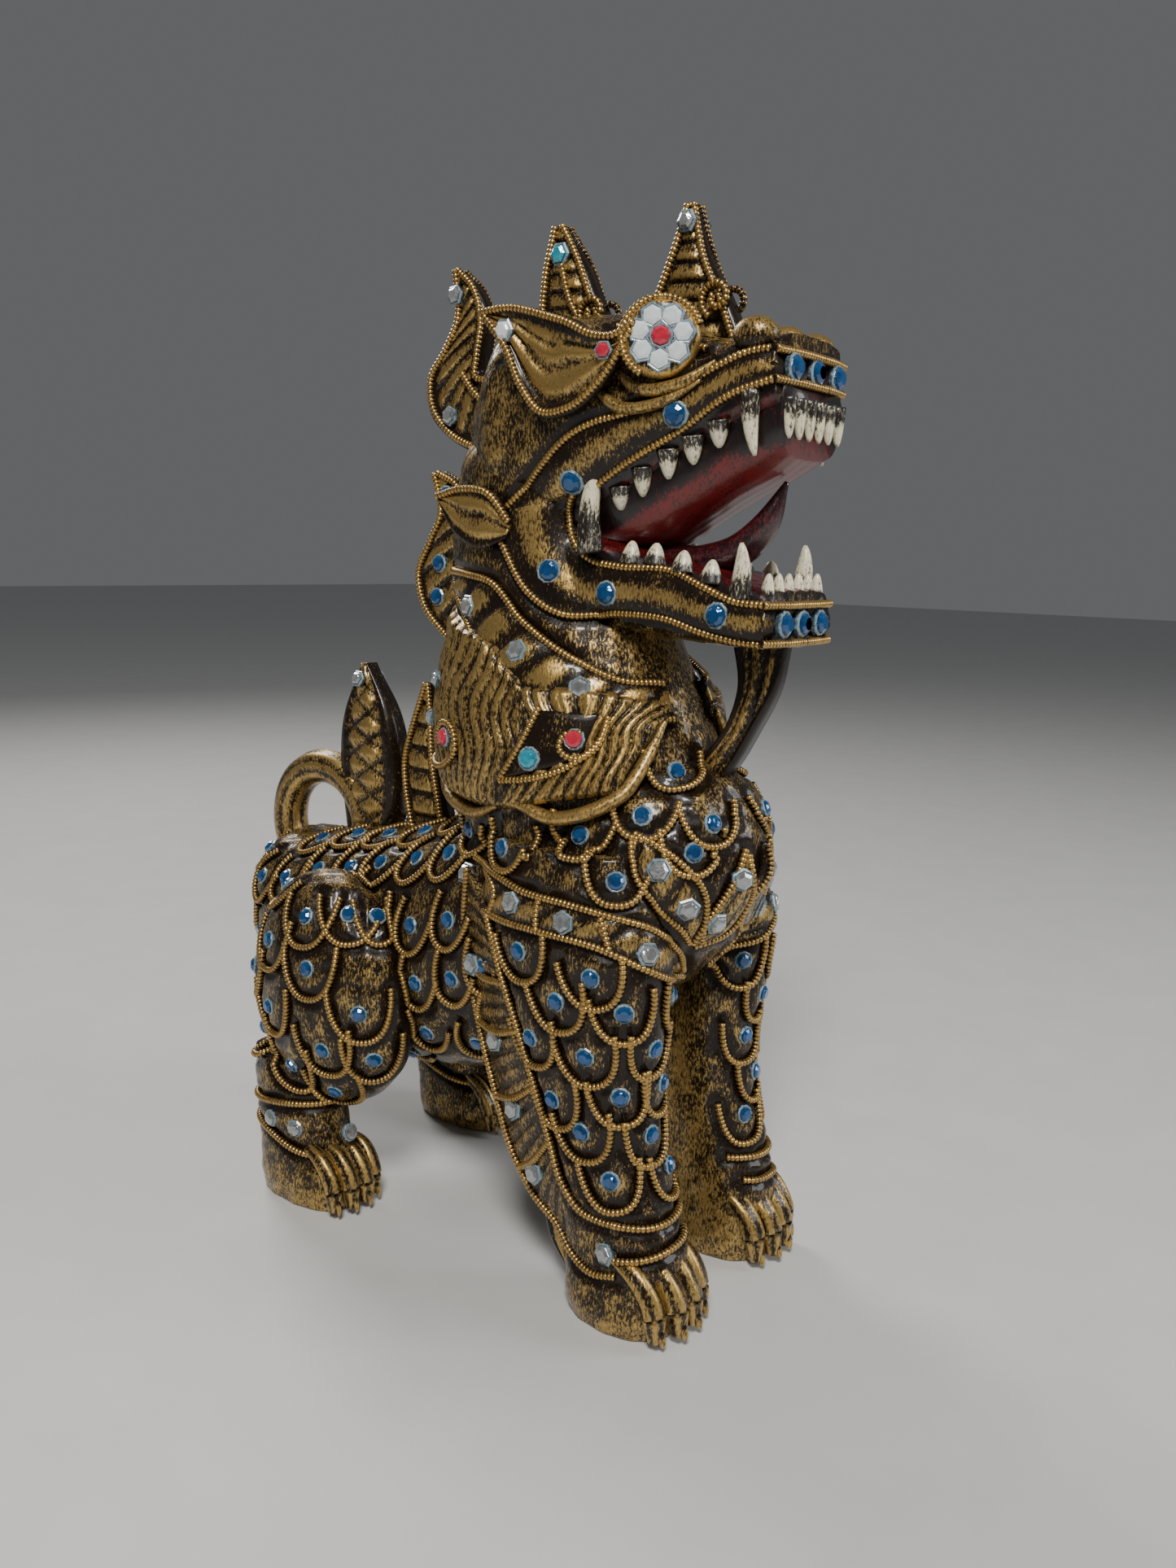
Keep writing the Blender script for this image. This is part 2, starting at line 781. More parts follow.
@dataclass(frozen=True)
class GiltLacquer:
    """Dark lacquer with rubbed gold and a clear coat."""

    name: str
    lacquer: tuple[float, float, float] = (0.005, 0.003, 0.002)
    brown: tuple[float, float, float] = (0.014, 0.007, 0.003)
    gold: tuple[float, float, float] = (0.34, 0.19, 0.045)
    bright: tuple[float, float, float] = (1.0, 0.72, 0.26)
    cover: float = 0.5
    contrast: float = 1.0
    bump: float = 0.0004
    coat: float = 0.32

    def build(self, finish: Finish) -> bpy.types.Material:
        """Make the material.

        Args:
            finish: the shared shader groups.

        Returns:
            The material.
        """
        material, w, shader = blank_material(self.name)
        gild = w.add("ShaderNodeAttribute", attribute_name="gild").outputs["Fac"]
        brush = finish.use(w, finish.brush, Gild=gild, Cover=self.cover, Contrast=self.contrast)
        age = finish.use(w, finish.age, Scale=80.0)
        under = w.mix(age.outputs["Tone"], self.lacquer, self.brown)
        over = w.mix(w.math("POWER", brush.outputs["Height"], 1.6), self.gold, self.bright)
        w.join(w.mix(brush.outputs["Mask"], under, over), shader.inputs["Base Color"])
        w.join(w.math("MULTIPLY", brush.outputs["Mask"], 0.95), shader.inputs["Metallic"])
        rough = w.math("ADD", 0.26, w.math("MULTIPLY", brush.outputs["Mask"], 0.07))
        w.join(rough, shader.inputs["Roughness"])
        shader.inputs["Coat Weight"].default_value = self.coat
        shader.inputs["Coat Roughness"].default_value = 0.09
        shader.inputs["Specular IOR Level"].default_value = 0.2
        bump = w.add("ShaderNodeBump", Strength=0.6, Distance=self.bump, Height=brush.outputs["Height"])
        w.join(bump.outputs[0], shader.inputs["Normal"])
        return material


@dataclass(frozen=True)
class Glass:
    """Foil-backed cut glass: bright facets over a coloured foil."""

    name: str
    deep: tuple[float, float, float]
    light: tuple[float, float, float]
    metal: float = 0.35

    def build(self, finish: Finish) -> bpy.types.Material:
        """Make the material.

        Args:
            finish: the shared shader groups.

        Returns:
            The material.
        """
        material, w, shader = blank_material(self.name)
        age = finish.use(w, finish.age, Scale=420.0)
        facing = w.add("ShaderNodeLayerWeight", Blend=0.35).outputs["Facing"]
        spark = w.math("MULTIPLY", w.math("ADD", age.outputs["Tone"], facing), 0.75)
        w.join(w.mix(spark, self.deep, self.light), shader.inputs["Base Color"])
        shader.inputs["Metallic"].default_value = self.metal
        shader.inputs["Roughness"].default_value = 0.08
        shader.inputs["Coat Weight"].default_value = 1.0
        shader.inputs["Coat Roughness"].default_value = 0.03
        bump = w.add("ShaderNodeBump", Strength=0.25, Distance=0.0003, Height=age.outputs["Pits"])
        w.join(bump.outputs[0], shader.inputs["Normal"])
        return material


@dataclass(frozen=True)
class Paint:
    """Brushed paint over a dark ground."""

    name: str
    ground: tuple[float, float, float]
    top: tuple[float, float, float]
    cover: float = 0.6
    rough: float = 0.3
    coat: float = 0.6

    def build(self, finish: Finish) -> bpy.types.Material:
        """Make the material.

        Args:
            finish: the shared shader groups.

        Returns:
            The material.
        """
        material, w, shader = blank_material(self.name)
        gild = w.add("ShaderNodeAttribute", attribute_name="gild").outputs["Fac"]
        brush = finish.use(w, finish.brush, Gild=gild, Cover=self.cover, Contrast=1.2)
        w.join(w.mix(brush.outputs["Mask"], self.ground, self.top), shader.inputs["Base Color"])
        shader.inputs["Roughness"].default_value = self.rough
        shader.inputs["Coat Weight"].default_value = self.coat
        shader.inputs["Coat Roughness"].default_value = 0.1
        bump = w.add("ShaderNodeBump", Strength=0.5, Distance=0.0004, Height=brush.outputs["Height"])
        w.join(bump.outputs[0], shader.inputs["Normal"])
        return material


class Palette:
    """Every material of the lion."""

    def __init__(self) -> None:
        """Build the materials over the shared groups."""
        finish = Finish()
        self.hide = GiltLacquer("gilt_hide", cover=0.3, contrast=1.15).build(finish)
        self.rich = GiltLacquer("gilt_rich", cover=0.5, contrast=1.0).build(finish)
        self.bead = GiltLacquer("bead_gold", cover=0.46, contrast=0.6, bump=0.0001,
                                gold=(0.34, 0.18, 0.04), bright=(0.92, 0.62, 0.20)).build(finish)
        self.mouth = Paint("mouth_lacquer", (0.005, 0.002, 0.002), (0.15, 0.004, 0.004), 0.45, 0.3,
                           0.4).build(finish)
        self.tongue = Paint("tongue_lacquer", (0.008, 0.004, 0.005), (0.10, 0.012, 0.015), 0.4, 0.24,
                            0.6).build(finish)
        self.tooth = Paint("tooth_paint", (0.012, 0.008, 0.006), (0.74, 0.68, 0.48), 0.62, 0.35,
                           0.4).build(finish)
        self.glue = Paint("dried_glue", (0.03, 0.05, 0.065), (0.20, 0.28, 0.32), 0.5, 0.2, 0.7).build(finish)
        self.blue = Glass("blue_glass", (0.001, 0.008, 0.04), (0.004, 0.13, 0.38)).build(finish)
        self.cyan = Glass("cyan_glass", (0.003, 0.10, 0.20), (0.05, 0.60, 0.75)).build(finish)
        self.clear = Glass("clear_glass", (0.07, 0.07, 0.07), (0.62, 0.66, 0.66), 0.6).build(finish)
        self.white = Glass("white_glass", (0.50, 0.55, 0.58), (0.90, 0.94, 0.95), 0.1).build(finish)
        self.red = Glass("red_glass", (0.28, 0.003, 0.012), (0.85, 0.05, 0.10), 0.2).build(finish)


# ------------------------------------------------------------------ the lion's masses

INWARD = (1.0, 0.0, 0.0)
SLANT = (0.79, 0.58, -0.18)
DOWN = (0.0, 0.15, -1.0)

TORSO = Carved([(120, 0, 100, 9, 11, 2.2), (108, 0, 100, 25, 26, 2.2), (88, 0, 94, 33, 35, 2.2),
                (58, 0, 93, 37, 43, 2.2), (23, 0, 97, 38, 46, 2.2), (-12, 0, 108, 40, 50, 2.2),
                (-52, 0, 128, 42, 50, 2.2), (-80, 0, 142, 37, 40, 2.2), (-98, 0, 147, 25, 26, 2.2),
                (-107.5, 0, 148, 8, 9, 2.2)])
NECK = Carved([(150, 0, -47, 38, 52, 2.1), (180, 0, -38, 36, 50, 2.1), (200, 0, -35, 33, 44, 2.1),
               (225, 0, -29, 30, 38, 2.2), (250, 0, -24, 28, 34, 2.3), (270, 0, -24, 27, 31, 2.3),
               (281, 0, -24, 21, 24, 2.3), (286, 0, -24, 8, 10, 2.2)], True)
MANE = Carved([(152, 0, -47, 38, 52, 2.1), (166, 0, -43, 41, 53, 2.1), (185, 0, -37, 39.5, 51, 2.1),
               (205, 0, -34, 36, 46, 2.1), (214, 0, -32, 33, 42, 2.1), (236, 0, -26, 27.5, 34, 2.1)], True)
HEAD = Carved([(-118, 0, 294, 20.5, 10.5, 3.4), (-95, 0, 290, 23, 15, 3.0), (-72, 0, 286.5, 27, 25.5, 2.8),
               (-47, 0, 283, 30, 33, 2.6), (-22, 0, 283.5, 30, 33.5, 2.5), (-4.6, 0, 280, 19, 18, 2.3)])
JAW = Carved([(-118, 0, 225, 20, 8, 5.0), (-95, 0, 228, 21, 10.5, 4.5), (-74, 0, 231, 21.5, 12, 4.0),
              (-61, 0, 233.5, 22, 13.5, 4.0), (-49, 0, 237.5, 23, 16.5, 3.4), (-36, 0, 241, 24, 18, 2.8),
              (-24, 0, 245, 24, 16, 2.4)])
FORELEG = Carved([(152, -30, -57, 15, 29, 2.2), (120, -32, -62, 17, 34, 2.3), (100, -31, -65, 17, 30, 2.3),
                  (80, -30, -68, 16, 25, 2.3), (55, -29, -74, 15, 21, 2.3), (37, -29, -80, 15, 20, 2.3),
                  (20, -29, -84, 15, 20, 2.4), (8, -29.5, -85, 16, 20, 2.4),
                  (0, -29.5, -85, 14.5, 18, 2.4)], True)
HAUNCH = Ball((-37, 46, 82), (20.5, 38, 44))
SHANK = Carved([(52, -40, 62, 13, 22, 2.2), (35, -42, 60, 13, 19, 2.2), (20, -42.5, 57, 12.5, 20, 2.3),
                (8, -43, 54, 13, 22, 2.4), (0, -43, 54, 11.5, 21, 2.4)], True)
PALATE = Carved([(-119, 0, 284, 17.5, 13, 3.2), (-105, 0, 279, 18.5, 16, 2.8), (-88, 0, 271, 19, 17, 2.6),
                 (-74, 0, 264, 19.5, 18, 2.5), (-60, 0, 260, 21, 17, 2.4), (-40, 0, 258, 22, 16, 2.4)])
BODY = Union([TORSO, NECK, MANE, HEAD, JAW, FORELEG, HAUNCH, SHANK])
HIDE = Union([TORSO, FORELEG, HAUNCH, SHANK])


class Relief(Enum):
    """Carving on a raised panel."""

    PLAIN = "plain"
    STEPS = "steps"
    STRIPES = "stripes"
    GROOVES = "grooves"
    PLAIT = "plait"


def relief_height(kind: Relief, along: Array, across: Array, count: float) -> Array:
    """Height from 0 to 1 of a panel's carving, from its two parameters (each 0 to 1).

    Steps are rounded teeth along the panel, stripes are the same set aslant, grooves are ridges that
    run the length, and a plait is two slanted families of ridges crossing.

    Args:
        kind: which carving.
        along: share of the way along the panel.
        across: share of the way across it.
        count: how many teeth, stripes or ridges there are.

    Returns:
        The height at every point of the grid.
    """
    if kind is Relief.STEPS:
        wave = (along * count) % 1.0
        return ramp(wave, 0.02, 0.3) * (1 - 0.5 * ramp(wave, 0.4, 1.0))
    if kind is Relief.STRIPES:
        wave = (along * count + 0.9 * across) % 1.0
        return ramp(wave, 0.05, 0.25) * (1 - ramp(wave, 0.6, 0.95))
    if kind is Relief.GROOVES:
        drift = 0.05 * np.sin(5 * along) + 0.025 * np.sin(13 * along + 4 * across)
        wave = count * (across + drift + 0.035 * np.sin(9 * across))
        fine = 0.82 + 0.18 * np.abs(np.sin(2.6 * math.pi * wave))
        return np.abs(np.sin(math.pi * wave))**0.55 * fine
    if kind is Relief.PLAIT:
        first = np.abs(np.sin(math.pi * (along * count + across * 1.6)))
        second = np.abs(np.sin(math.pi * (along * count - across * 1.6)))
        return np.minimum(first, second)**0.7
    return np.ones_like(along + across)


class Ropes:
    """Collects the moulding of one piece; the trail keeps every path, for the ground to dip beside."""

    trail: ClassVar[list[Array]] = []

    def __init__(self, moulding: Moulding = Moulding()) -> None:
        """Start an empty set."""
        self.moulding = moulding
        self.runs: list[Patch] = []

    def along(self, path: Array, normal: Array) -> None:
        """Lay moulding along points with known normals."""
        self.runs.append(self.moulding.run(path, normal))
        Ropes.trail.append(path)

    def on_skin(self, points: list, way: tuple | None = SLANT, body: Union = BODY) -> Array:
        """Lay moulding on the body through hand-placed points.

        Args:
            points: points of the run in drawing millimetres.
            way: the direction in which they are dropped onto the skin; none settles them instead.
            body: masses to lie on.

        Returns:
            The path laid.
        """
        rough = np.array(points, float)
        path = through(rough, max(8, int(length_of(rough) / 1.6)))
        path = body.settle(path) if way is None else body.land(path, np.array(way))
        path = through(path[:: 2] if len(path) > 20 else path, len(path))
        self.along(path, body.normal(path))
        return path

    def flat(self, points: list, normal: tuple, steps: float = 1.6) -> Array:
        """Lay moulding through points as they stand, facing one way."""
        rough = np.array(points, float)
        path = through(rough, max(8, int(length_of(rough) / steps)))
        self.along(path, np.broadcast_to(unit(np.array(normal, float)), path.shape))
        return path

    def patch(self) -> Patch:
        """All the moulding as one patch."""
        return join(self.runs)


def spiral(middle: tuple, radius: float, turns: float, start: float) -> Array:
    """Flat curl in the side plane: the radius shrinks evenly as the angle turns.

    Args:
        middle: middle of the curl.
        radius: radius at its open end.
        turns: how many times it goes round.
        start: angle of its open end, in radians.

    Returns:
        Points from the open end to the middle.
    """
    t = np.linspace(0, 1, int(24 * turns) + 4)
    angle = start + 2 * math.pi * turns * t
    size = radius * (1 - 0.78 * t)
    return np.stack([np.full_like(t, middle[0]), middle[1] + size * np.cos(angle),
                     middle[2] + size * np.sin(angle)], 1)


@dataclass
class Ribbon:
    """Raised band between two edges lying on the body."""

    left: list
    right: list
    relief: Relief = Relief.PLAIN
    count: float = 6.0
    height: float = 1.6
    sink: float = 3.0
    way: tuple | None = SLANT
    shade: float = 0.55
    fine: int = 17

    def build(self, body: Union = BODY) -> Patch:
        """Grid between the edges.

        Each point lies between the edges in proportion across, dropped to the skin, and lifted by
        the panel's bulge (a half sine to the power of its rounding) and by its relief; the
        underside is sunk.

        Args:
            body: the masses it lies on.

        Returns:
            The band as a patch.
        """
        long = max(length_of(np.array(self.left, float)), length_of(np.array(self.right, float)))
        n, m = max(8, int(long / 0.9)), self.fine
        grid, along, across = between(through(self.left, n), through(self.right, n), m)
        flat = grid.reshape(-1, 3)
        if self.way is None:
            flat = body.settle(flat)
        else:
            flat = body.land(flat, np.array(self.way))
        normal = body.normal(flat).reshape(n, m, 3)
        grid = flat.reshape(n, m, 3)
        rounding = 0.2 if self.relief is Relief.GROOVES else 0.5
        bulge = np.clip(np.sin(math.pi * across), 0, 1)**rounding + 0 * along
        carve = relief_height(self.relief, along, across, self.count)
        ends = ramp(along, 0, 0.06) * (1 - ramp(along, 0.94, 1.0))
        lift = self.height * bulge * (0.45 + 0.55 * carve) * (0.3 + 0.7 * ends)
        top = grid + normal * lift[..., None]
        under = (grid - normal * self.sink)[:, ::-1]
        rings = np.concatenate([top, under], axis=1)
        edge = {Relief.PLAIN: 0.2, Relief.GROOVES: -0.1}.get(self.relief, 0.08)
        middle = ramp(across, edge, edge + 0.26) * (1 - ramp(across, 0.74 - edge, 1 - edge))
        gild = self.shade * (0.1 + 0.9 * middle) * (0.05 + 0.95 * carve)
        level = np.concatenate([gild, gild * 0], axis=1)
        return tube(rings, level)


@dataclass
class Flame:
    """Carved flame plate between two edges in the side plane, worked on both faces."""

    left: list
    right: list
    x: float = 0.0
    half: float = 3.6
    relief: Relief = Relief.STEPS
    count: float = 7.0
    depth: float = 0.35
    lean: float = 0.0
    dish: float = 0.0

    def edges(self, n: int) -> tuple[Array, Array]:
        """Both edges as points in space.

        Args:
            n: how many points each edge has.

        Returns:
            The left and the right edge, each of shape (n, 3).
        """
        pair = []
        for edge in (self.left, self.right):
            flat = through(np.array(edge, float), n)
            x = self.x + self.lean * np.linspace(0, 1, n)
            pair.append(np.column_stack([x, flat]))
        return pair[0], pair[1]

    def build(self) -> Patch:
        """Plate: thin at both edges, a raised panel between them, carved in relief on each face.

        Half thickness is half x (0.45 + 0.55 sine across), less the relief's depth times the
        carving within the panel. A dish bends the middle of the plate inwards by a half sine.
        """
        long = length_of(np.array(self.left, float))
        n, m = max(24, int(long / 0.6)), 21
        grid, along, across = between(*self.edges(n), m)
        panel = ramp(across, 0.12, 0.24) * (1 - ramp(across, 0.76, 0.88)) + 0 * along
        carve = relief_height(self.relief, along, across, self.count)
        taper = 1 - 0.45 * ramp(along, 0.55, 1.0)
        size = self.half * (0.62 + 0.38 * np.sin(math.pi * across)) * taper
        cut = self.depth * self.half * panel * (1 - carve)
        groove = 0.14 * self.half * (ramp(across, 0.1, 0.14) * (1 - ramp(across, 0.2, 0.26))
                                     + ramp(across, 0.74, 0.8) * (1 - ramp(across, 0.86, 0.9)))
        size = np.maximum(size - cut - groove, 0.5)
        bend = self.dish * np.sin(math.pi * across) * np.sin(math.pi * np.clip(along, 0.02, 0.98))
        near, far = grid.copy(), grid.copy()
        near[..., 0] += bend - size
        far[..., 0] += bend + size
        rings = np.concatenate([near, far[:, ::-1]], axis=1)
        gild = 0.05 + 0.8 * panel * carve
        return tube(rings, np.concatenate([gild, gild[:, ::-1]], axis=1))

    def rim(self, ropes: Ropes, inset: float = 0.07, left: bool = True, right: bool = True,
            both: bool = True) -> None:
        """Moulding along the edges, on both faces.

        Args:
            ropes: the set that the moulding joins.
            inset: how far in from the edge it lies, as a share of the width.
            left: whether the left edge has it.
            right: whether the right edge has it.
            both: whether both faces have it, or the near one alone.
        """
        n = max(24, int(length_of(np.array(self.left, float)) / 1.6))
        first, second = self.edges(n)
        taper = 1 - 0.45 * ramp(np.linspace(0, 1, n), 0.55, 1.0)
        for wanted, share in ((left, inset), (right, 1 - inset)):
            for side in ((-1, 1) if both else (-1,)):
                if wanted:
                    path = first * (1 - share) + second * share
                    path[:, 0] += side * self.half * 0.66 * taper
                    ropes.along(path, np.broadcast_to([float(side), 0.0, 0.0], path.shape))


def peg(base: tuple, tip: tuple, radius: float, bend: tuple = (0, 0, 0), flat: float = 0.8) -> Patch:
    """Tooth or claw: a bent taper whose radius falls as the root of the distance to the tip.

    Args:
        base: middle of the root.
        tip: the point.
        radius: radius at the root.
        bend: how far the middle of its length is moved aside.
        flat: width over depth of the section.

    Returns:
        The peg, bright on its faces and dark at the root and in its grooves.
    """
    t = np.linspace(0, 1, 12)[:, None]
    base, tip, bend = np.array(base, float), np.array(tip, float), np.array(bend, float)
    middle = base + (tip - base) * t + bend * (4 * t * (1 - t))
    ahead = unit(np.gradient(middle, axis=0))
    side = unit(np.cross(ahead, [0.1, 1.0, 0.2]))
    over = np.cross(side, ahead)
    size = radius * np.sqrt(np.clip(1 - 0.98 * t, 0, 1))
    angle = np.linspace(0, 2 * math.pi, 12, endpoint=False)
    ring = np.cos(angle)[None, :, None] * side[:, None] * flat + np.sin(angle)[None, :, None] * over[:, None]
    gild = np.clip(0.05 + 0.75 * ramp(t, 0.25, 0.6) - 0.22 * (np.cos(3 * angle)[None] > 0.5), 0, 1)
    return tube(middle[:, None] + size[:, None] * ring, gild)


def limb(path: list, widths: list, up: tuple = (0, 0, 1), wave: float = 0.0, grooves: int = 0,
         gild: float = 0.55) -> Patch:
    """Carved bar along a path.

    Args:
        path: points of its middle.
        widths: half width across and half height at points spread evenly along it.
        up: direction of the height.
        wave: depth of ridges round the section, in millimetres.
        grooves: how many ridges.
        gild: gilding on the ridges.

    Returns:
        The bar as a patch.
    """
    path = np.array(path, float)
    n = max(14, int(length_of(path) / 0.9))
    middle = through(path, n)
    sizes = np.array(widths, float)
    sizes = smooth_table(np.linspace(0, 1, len(sizes)), sizes, np.linspace(0, 1, n))
    ahead = unit(np.gradient(middle, axis=0))
    side = unit(np.cross(ahead, np.array(up, float)))
    over = np.cross(side, ahead)
    angle = np.linspace(0, 2 * math.pi, 28, endpoint=False)
    ridge = np.cos(grooves * angle)[None] if grooves else np.zeros((1, 28))
    wide = (sizes[:, :1] + wave * ridge)[..., None] * np.cos(angle)[None, :, None]
    high = (sizes[:, 1:] + wave * ridge)[..., None] * np.sin(angle)[None, :, None]
    rings = middle[:, None] + wide * side[:, None] + high * over[:, None]
    level = np.clip(gild + 0.35 * ridge, 0, 1) if grooves else gild
    return tube(rings, np.broadcast_to(level, (n, 28)))


# ------------------------------------------------------------------ scales and stones


@dataclass
class Scale:
    """One scale: where its stone sits, how wide and deep its loop is, and the way it points."""

    place: tuple
    width: float = 21.0
    depth: float = 14.0
    point: tuple = DOWN
    above: float = 0.36

    def loop(self, body: Union, settled: Array, normal: Array) -> Array:
        """Open loop round the stone.

        Across is half the width times c, with c from -1 to 1. Along is the depth times
        (1 - |c|^2.4)^(1/2) less the share that stands above the stone. The loop opens away from the
        way the scale points.

        Args:
            body: the masses it lies on.
            settled: the stone's place on the skin.
            normal: outward direction there.

        Returns:
            Points of the loop from end to end.
        """
        down = np.array(self.point, float)
        down = unit(down - normal * (down @ normal))
        side = np.cross(normal, down)
        angle = np.linspace(math.pi, 0, 29)
        c = np.cos(angle)
        reach = (1 - np.abs(c)**2.4)**0.5
        flat = (settled + (self.width / 2) * c[:, None] * side
                + (self.depth * (reach - self.above))[:, None] * down)
        return body.settle(flat, 5)


class Scales:
    """A field of scales with a rope loop and a stone in each."""

    def __init__(self, scales: list[Scale], body: Union, way: tuple | None = None) -> None:
        """Drop the scales onto the body."""
        self.scales, self.body = scales, body
        rough = np.array([scale.place for scale in scales], float)
        self.places = body.settle(rough) if way is None else body.land(rough, np.array(way))
        self.normals = body.normal(self.places)

    def lay(self, ropes: Ropes) -> None:
        """Lay the loops."""
        for scale, place, normal in zip(self.scales, self.places, self.normals):
            path = scale.loop(self.body, place, normal)
            ropes.along(path, self.body.normal(path))

    def stones(self, stone: Stone) -> Patch:
        """Set the stones."""
        return stone.set_at(self.places + 0.5 * self.normals, self.normals)


def set_stones(places: list, stone: Stone, body: Union = BODY, way: tuple | None = SLANT,
               lift: float = 0.4) -> Patch:
    """Stones dropped onto the body at hand-placed points."""
    rough = np.array(places, float)
    points = body.settle(rough) if way is None else body.land(rough, np.array(way))
    normals = body.normal(points)
    return stone.set_at(points + lift * normals, normals)


def face_stones(places: list, normal: tuple, stone: Stone) -> Patch:
    """Stones at points as they stand, facing one way."""
    points = np.array(places, float)
    return stone.set_at(points, np.broadcast_to(unit(np.array(normal, float)), points.shape))


FLANK = [(-39, -14, 120), (-38, 5, 114), (-40, 20, 115), (-39, -16, 100), (-38, 2, 94), (-32, 2, 75),
         (-29, -19, 76), (-34, -33, 88), (-38, -31, 108), (-30, -6, 140), (-29, 13, 136), (-27, 32, 130),
         (-27, 47, 125), (-26, 64, 120), (-24, 82, 112), (-16, 3, 150), (-15, 22, 142), (-13, 41, 135),
         (-12, 58, 130), (-11, 76, 123), (-20, 98, 108), (-28, 95, 92), (-12, 108, 92), (-20, 103, 76),
         (-24, -22, 152), (-22, 20, 60), (-14, 106, 118)]
HAUNCH_STONES = [(-51, 44, 112), (-46, 28, 115), (-55, 39, 95), (-51, 18, 82), (-54, 33, 66),
                 (-47, 15, 64), (-51, 52, 55), (-52, 62, 100), (-54, 60, 76), (-47, 76, 86), (-47, 74, 62),
                 (-40, 66, 116), (-48, 34, 48)]
LEG_STONES = [(-48, -53, 120), (-47, -80, 117), (-48, -68, 107), (-42, -89, 107), (-46, -57, 92),
              (-46, -78, 91), (-33, -94, 94), (-45, -65, 73), (-40, -87, 79), (-44, -76, 65),
              (-32, -93, 65), (-42, -86, 51), (-26, -93, 80), (-24, -95, 52), (-22, -93, 108)]
BREAST = [(-16, -87, 177), (-30, -85, 165), (-36, -67, 157), (-41, -42, 150), (-18, -103, 163),
          (-24, -101, 155), (-40, -83, 146)]


# ------------------------------------------------------------------ sub-assemblies


def pair(stem: str) -> tuple[str, str]:
    """Names of a frame node's right and left copies."""
    return f"{stem}_right", f"{stem}_left"


@dataclass
class Assembly:
    """Sub-assembly with what it needs: the maker and the palette."""

    maker: Maker
    palette: Palette

    def lay_ropes(self, name: str, ropes: Ropes, replaces: tuple = ()) -> None:
        """Make a set of mouldings on both sides."""
        self.maker.make(name, both_sides(ropes.patch()), [self.palette.bead], Slot.BEAD, replaces)

    def gild(self, name: str, patch: Patch, replaces: tuple = ()) -> None:
        """Make a richly gilded carving."""
        self.maker.make(name, patch, [self.palette.rich], Slot.GILT, replaces)

    def carve(self, name: str, patch: Patch, *replaces: str) -> None:
        """Make a carved mass, with the hide on it and mouth lacquer where it is marked."""
        self.maker.make(name, patch, [self.palette.hide, self.palette.mouth], Slot.GILT, replaces)

    def set_glass(self, name: str, patch: Patch, glass: bpy.types.Material, slot: Slot,
                  replaces: tuple = ()) -> None:
        """Make a set of stones: glass on the facets, glue round them."""
        self.maker.make(name, patch, [glass, self.palette.glue], slot, replaces, True)


@dataclass
class Coat(Assembly):
    """Scales over the trunk, legs and breast: loops of moulding and blue stones."""

    def lay(self) -> None:
        """Lay the loops and stones on both sides."""
        fields = {
            "flank": Scales([Scale(p, 17.5, 17.5, (0, 0.35, -1), above=0.38) for p in FLANK], BODY),
            "haunch": Scales([Scale(p, 25, 20, (0, -0.1, -1), above=0.44) for p in HAUNCH_STONES], BODY),
            "leg": Scales([Scale(p, 22, 16, (0, -0.25, -1), above=0.37) for p in LEG_STONES], BODY),
            "breast": Scales([Scale(p, 21, 14.5, (0, 0.1, -1), above=0.5) for p in BREAST], BODY),
        }
        for label, scales in fields.items():
            ropes = Ropes()
            scales.lay(ropes)
            stones = scales.stones(Stone())
            nodes = () if label == "breast" else pair(f"{label}_stones")
            self.lay_ropes(f"{label}_loops", ropes)
            self.set_glass(f"{label}_stones", both_sides(stones), self.palette.blue, Slot.BLUE, nodes)


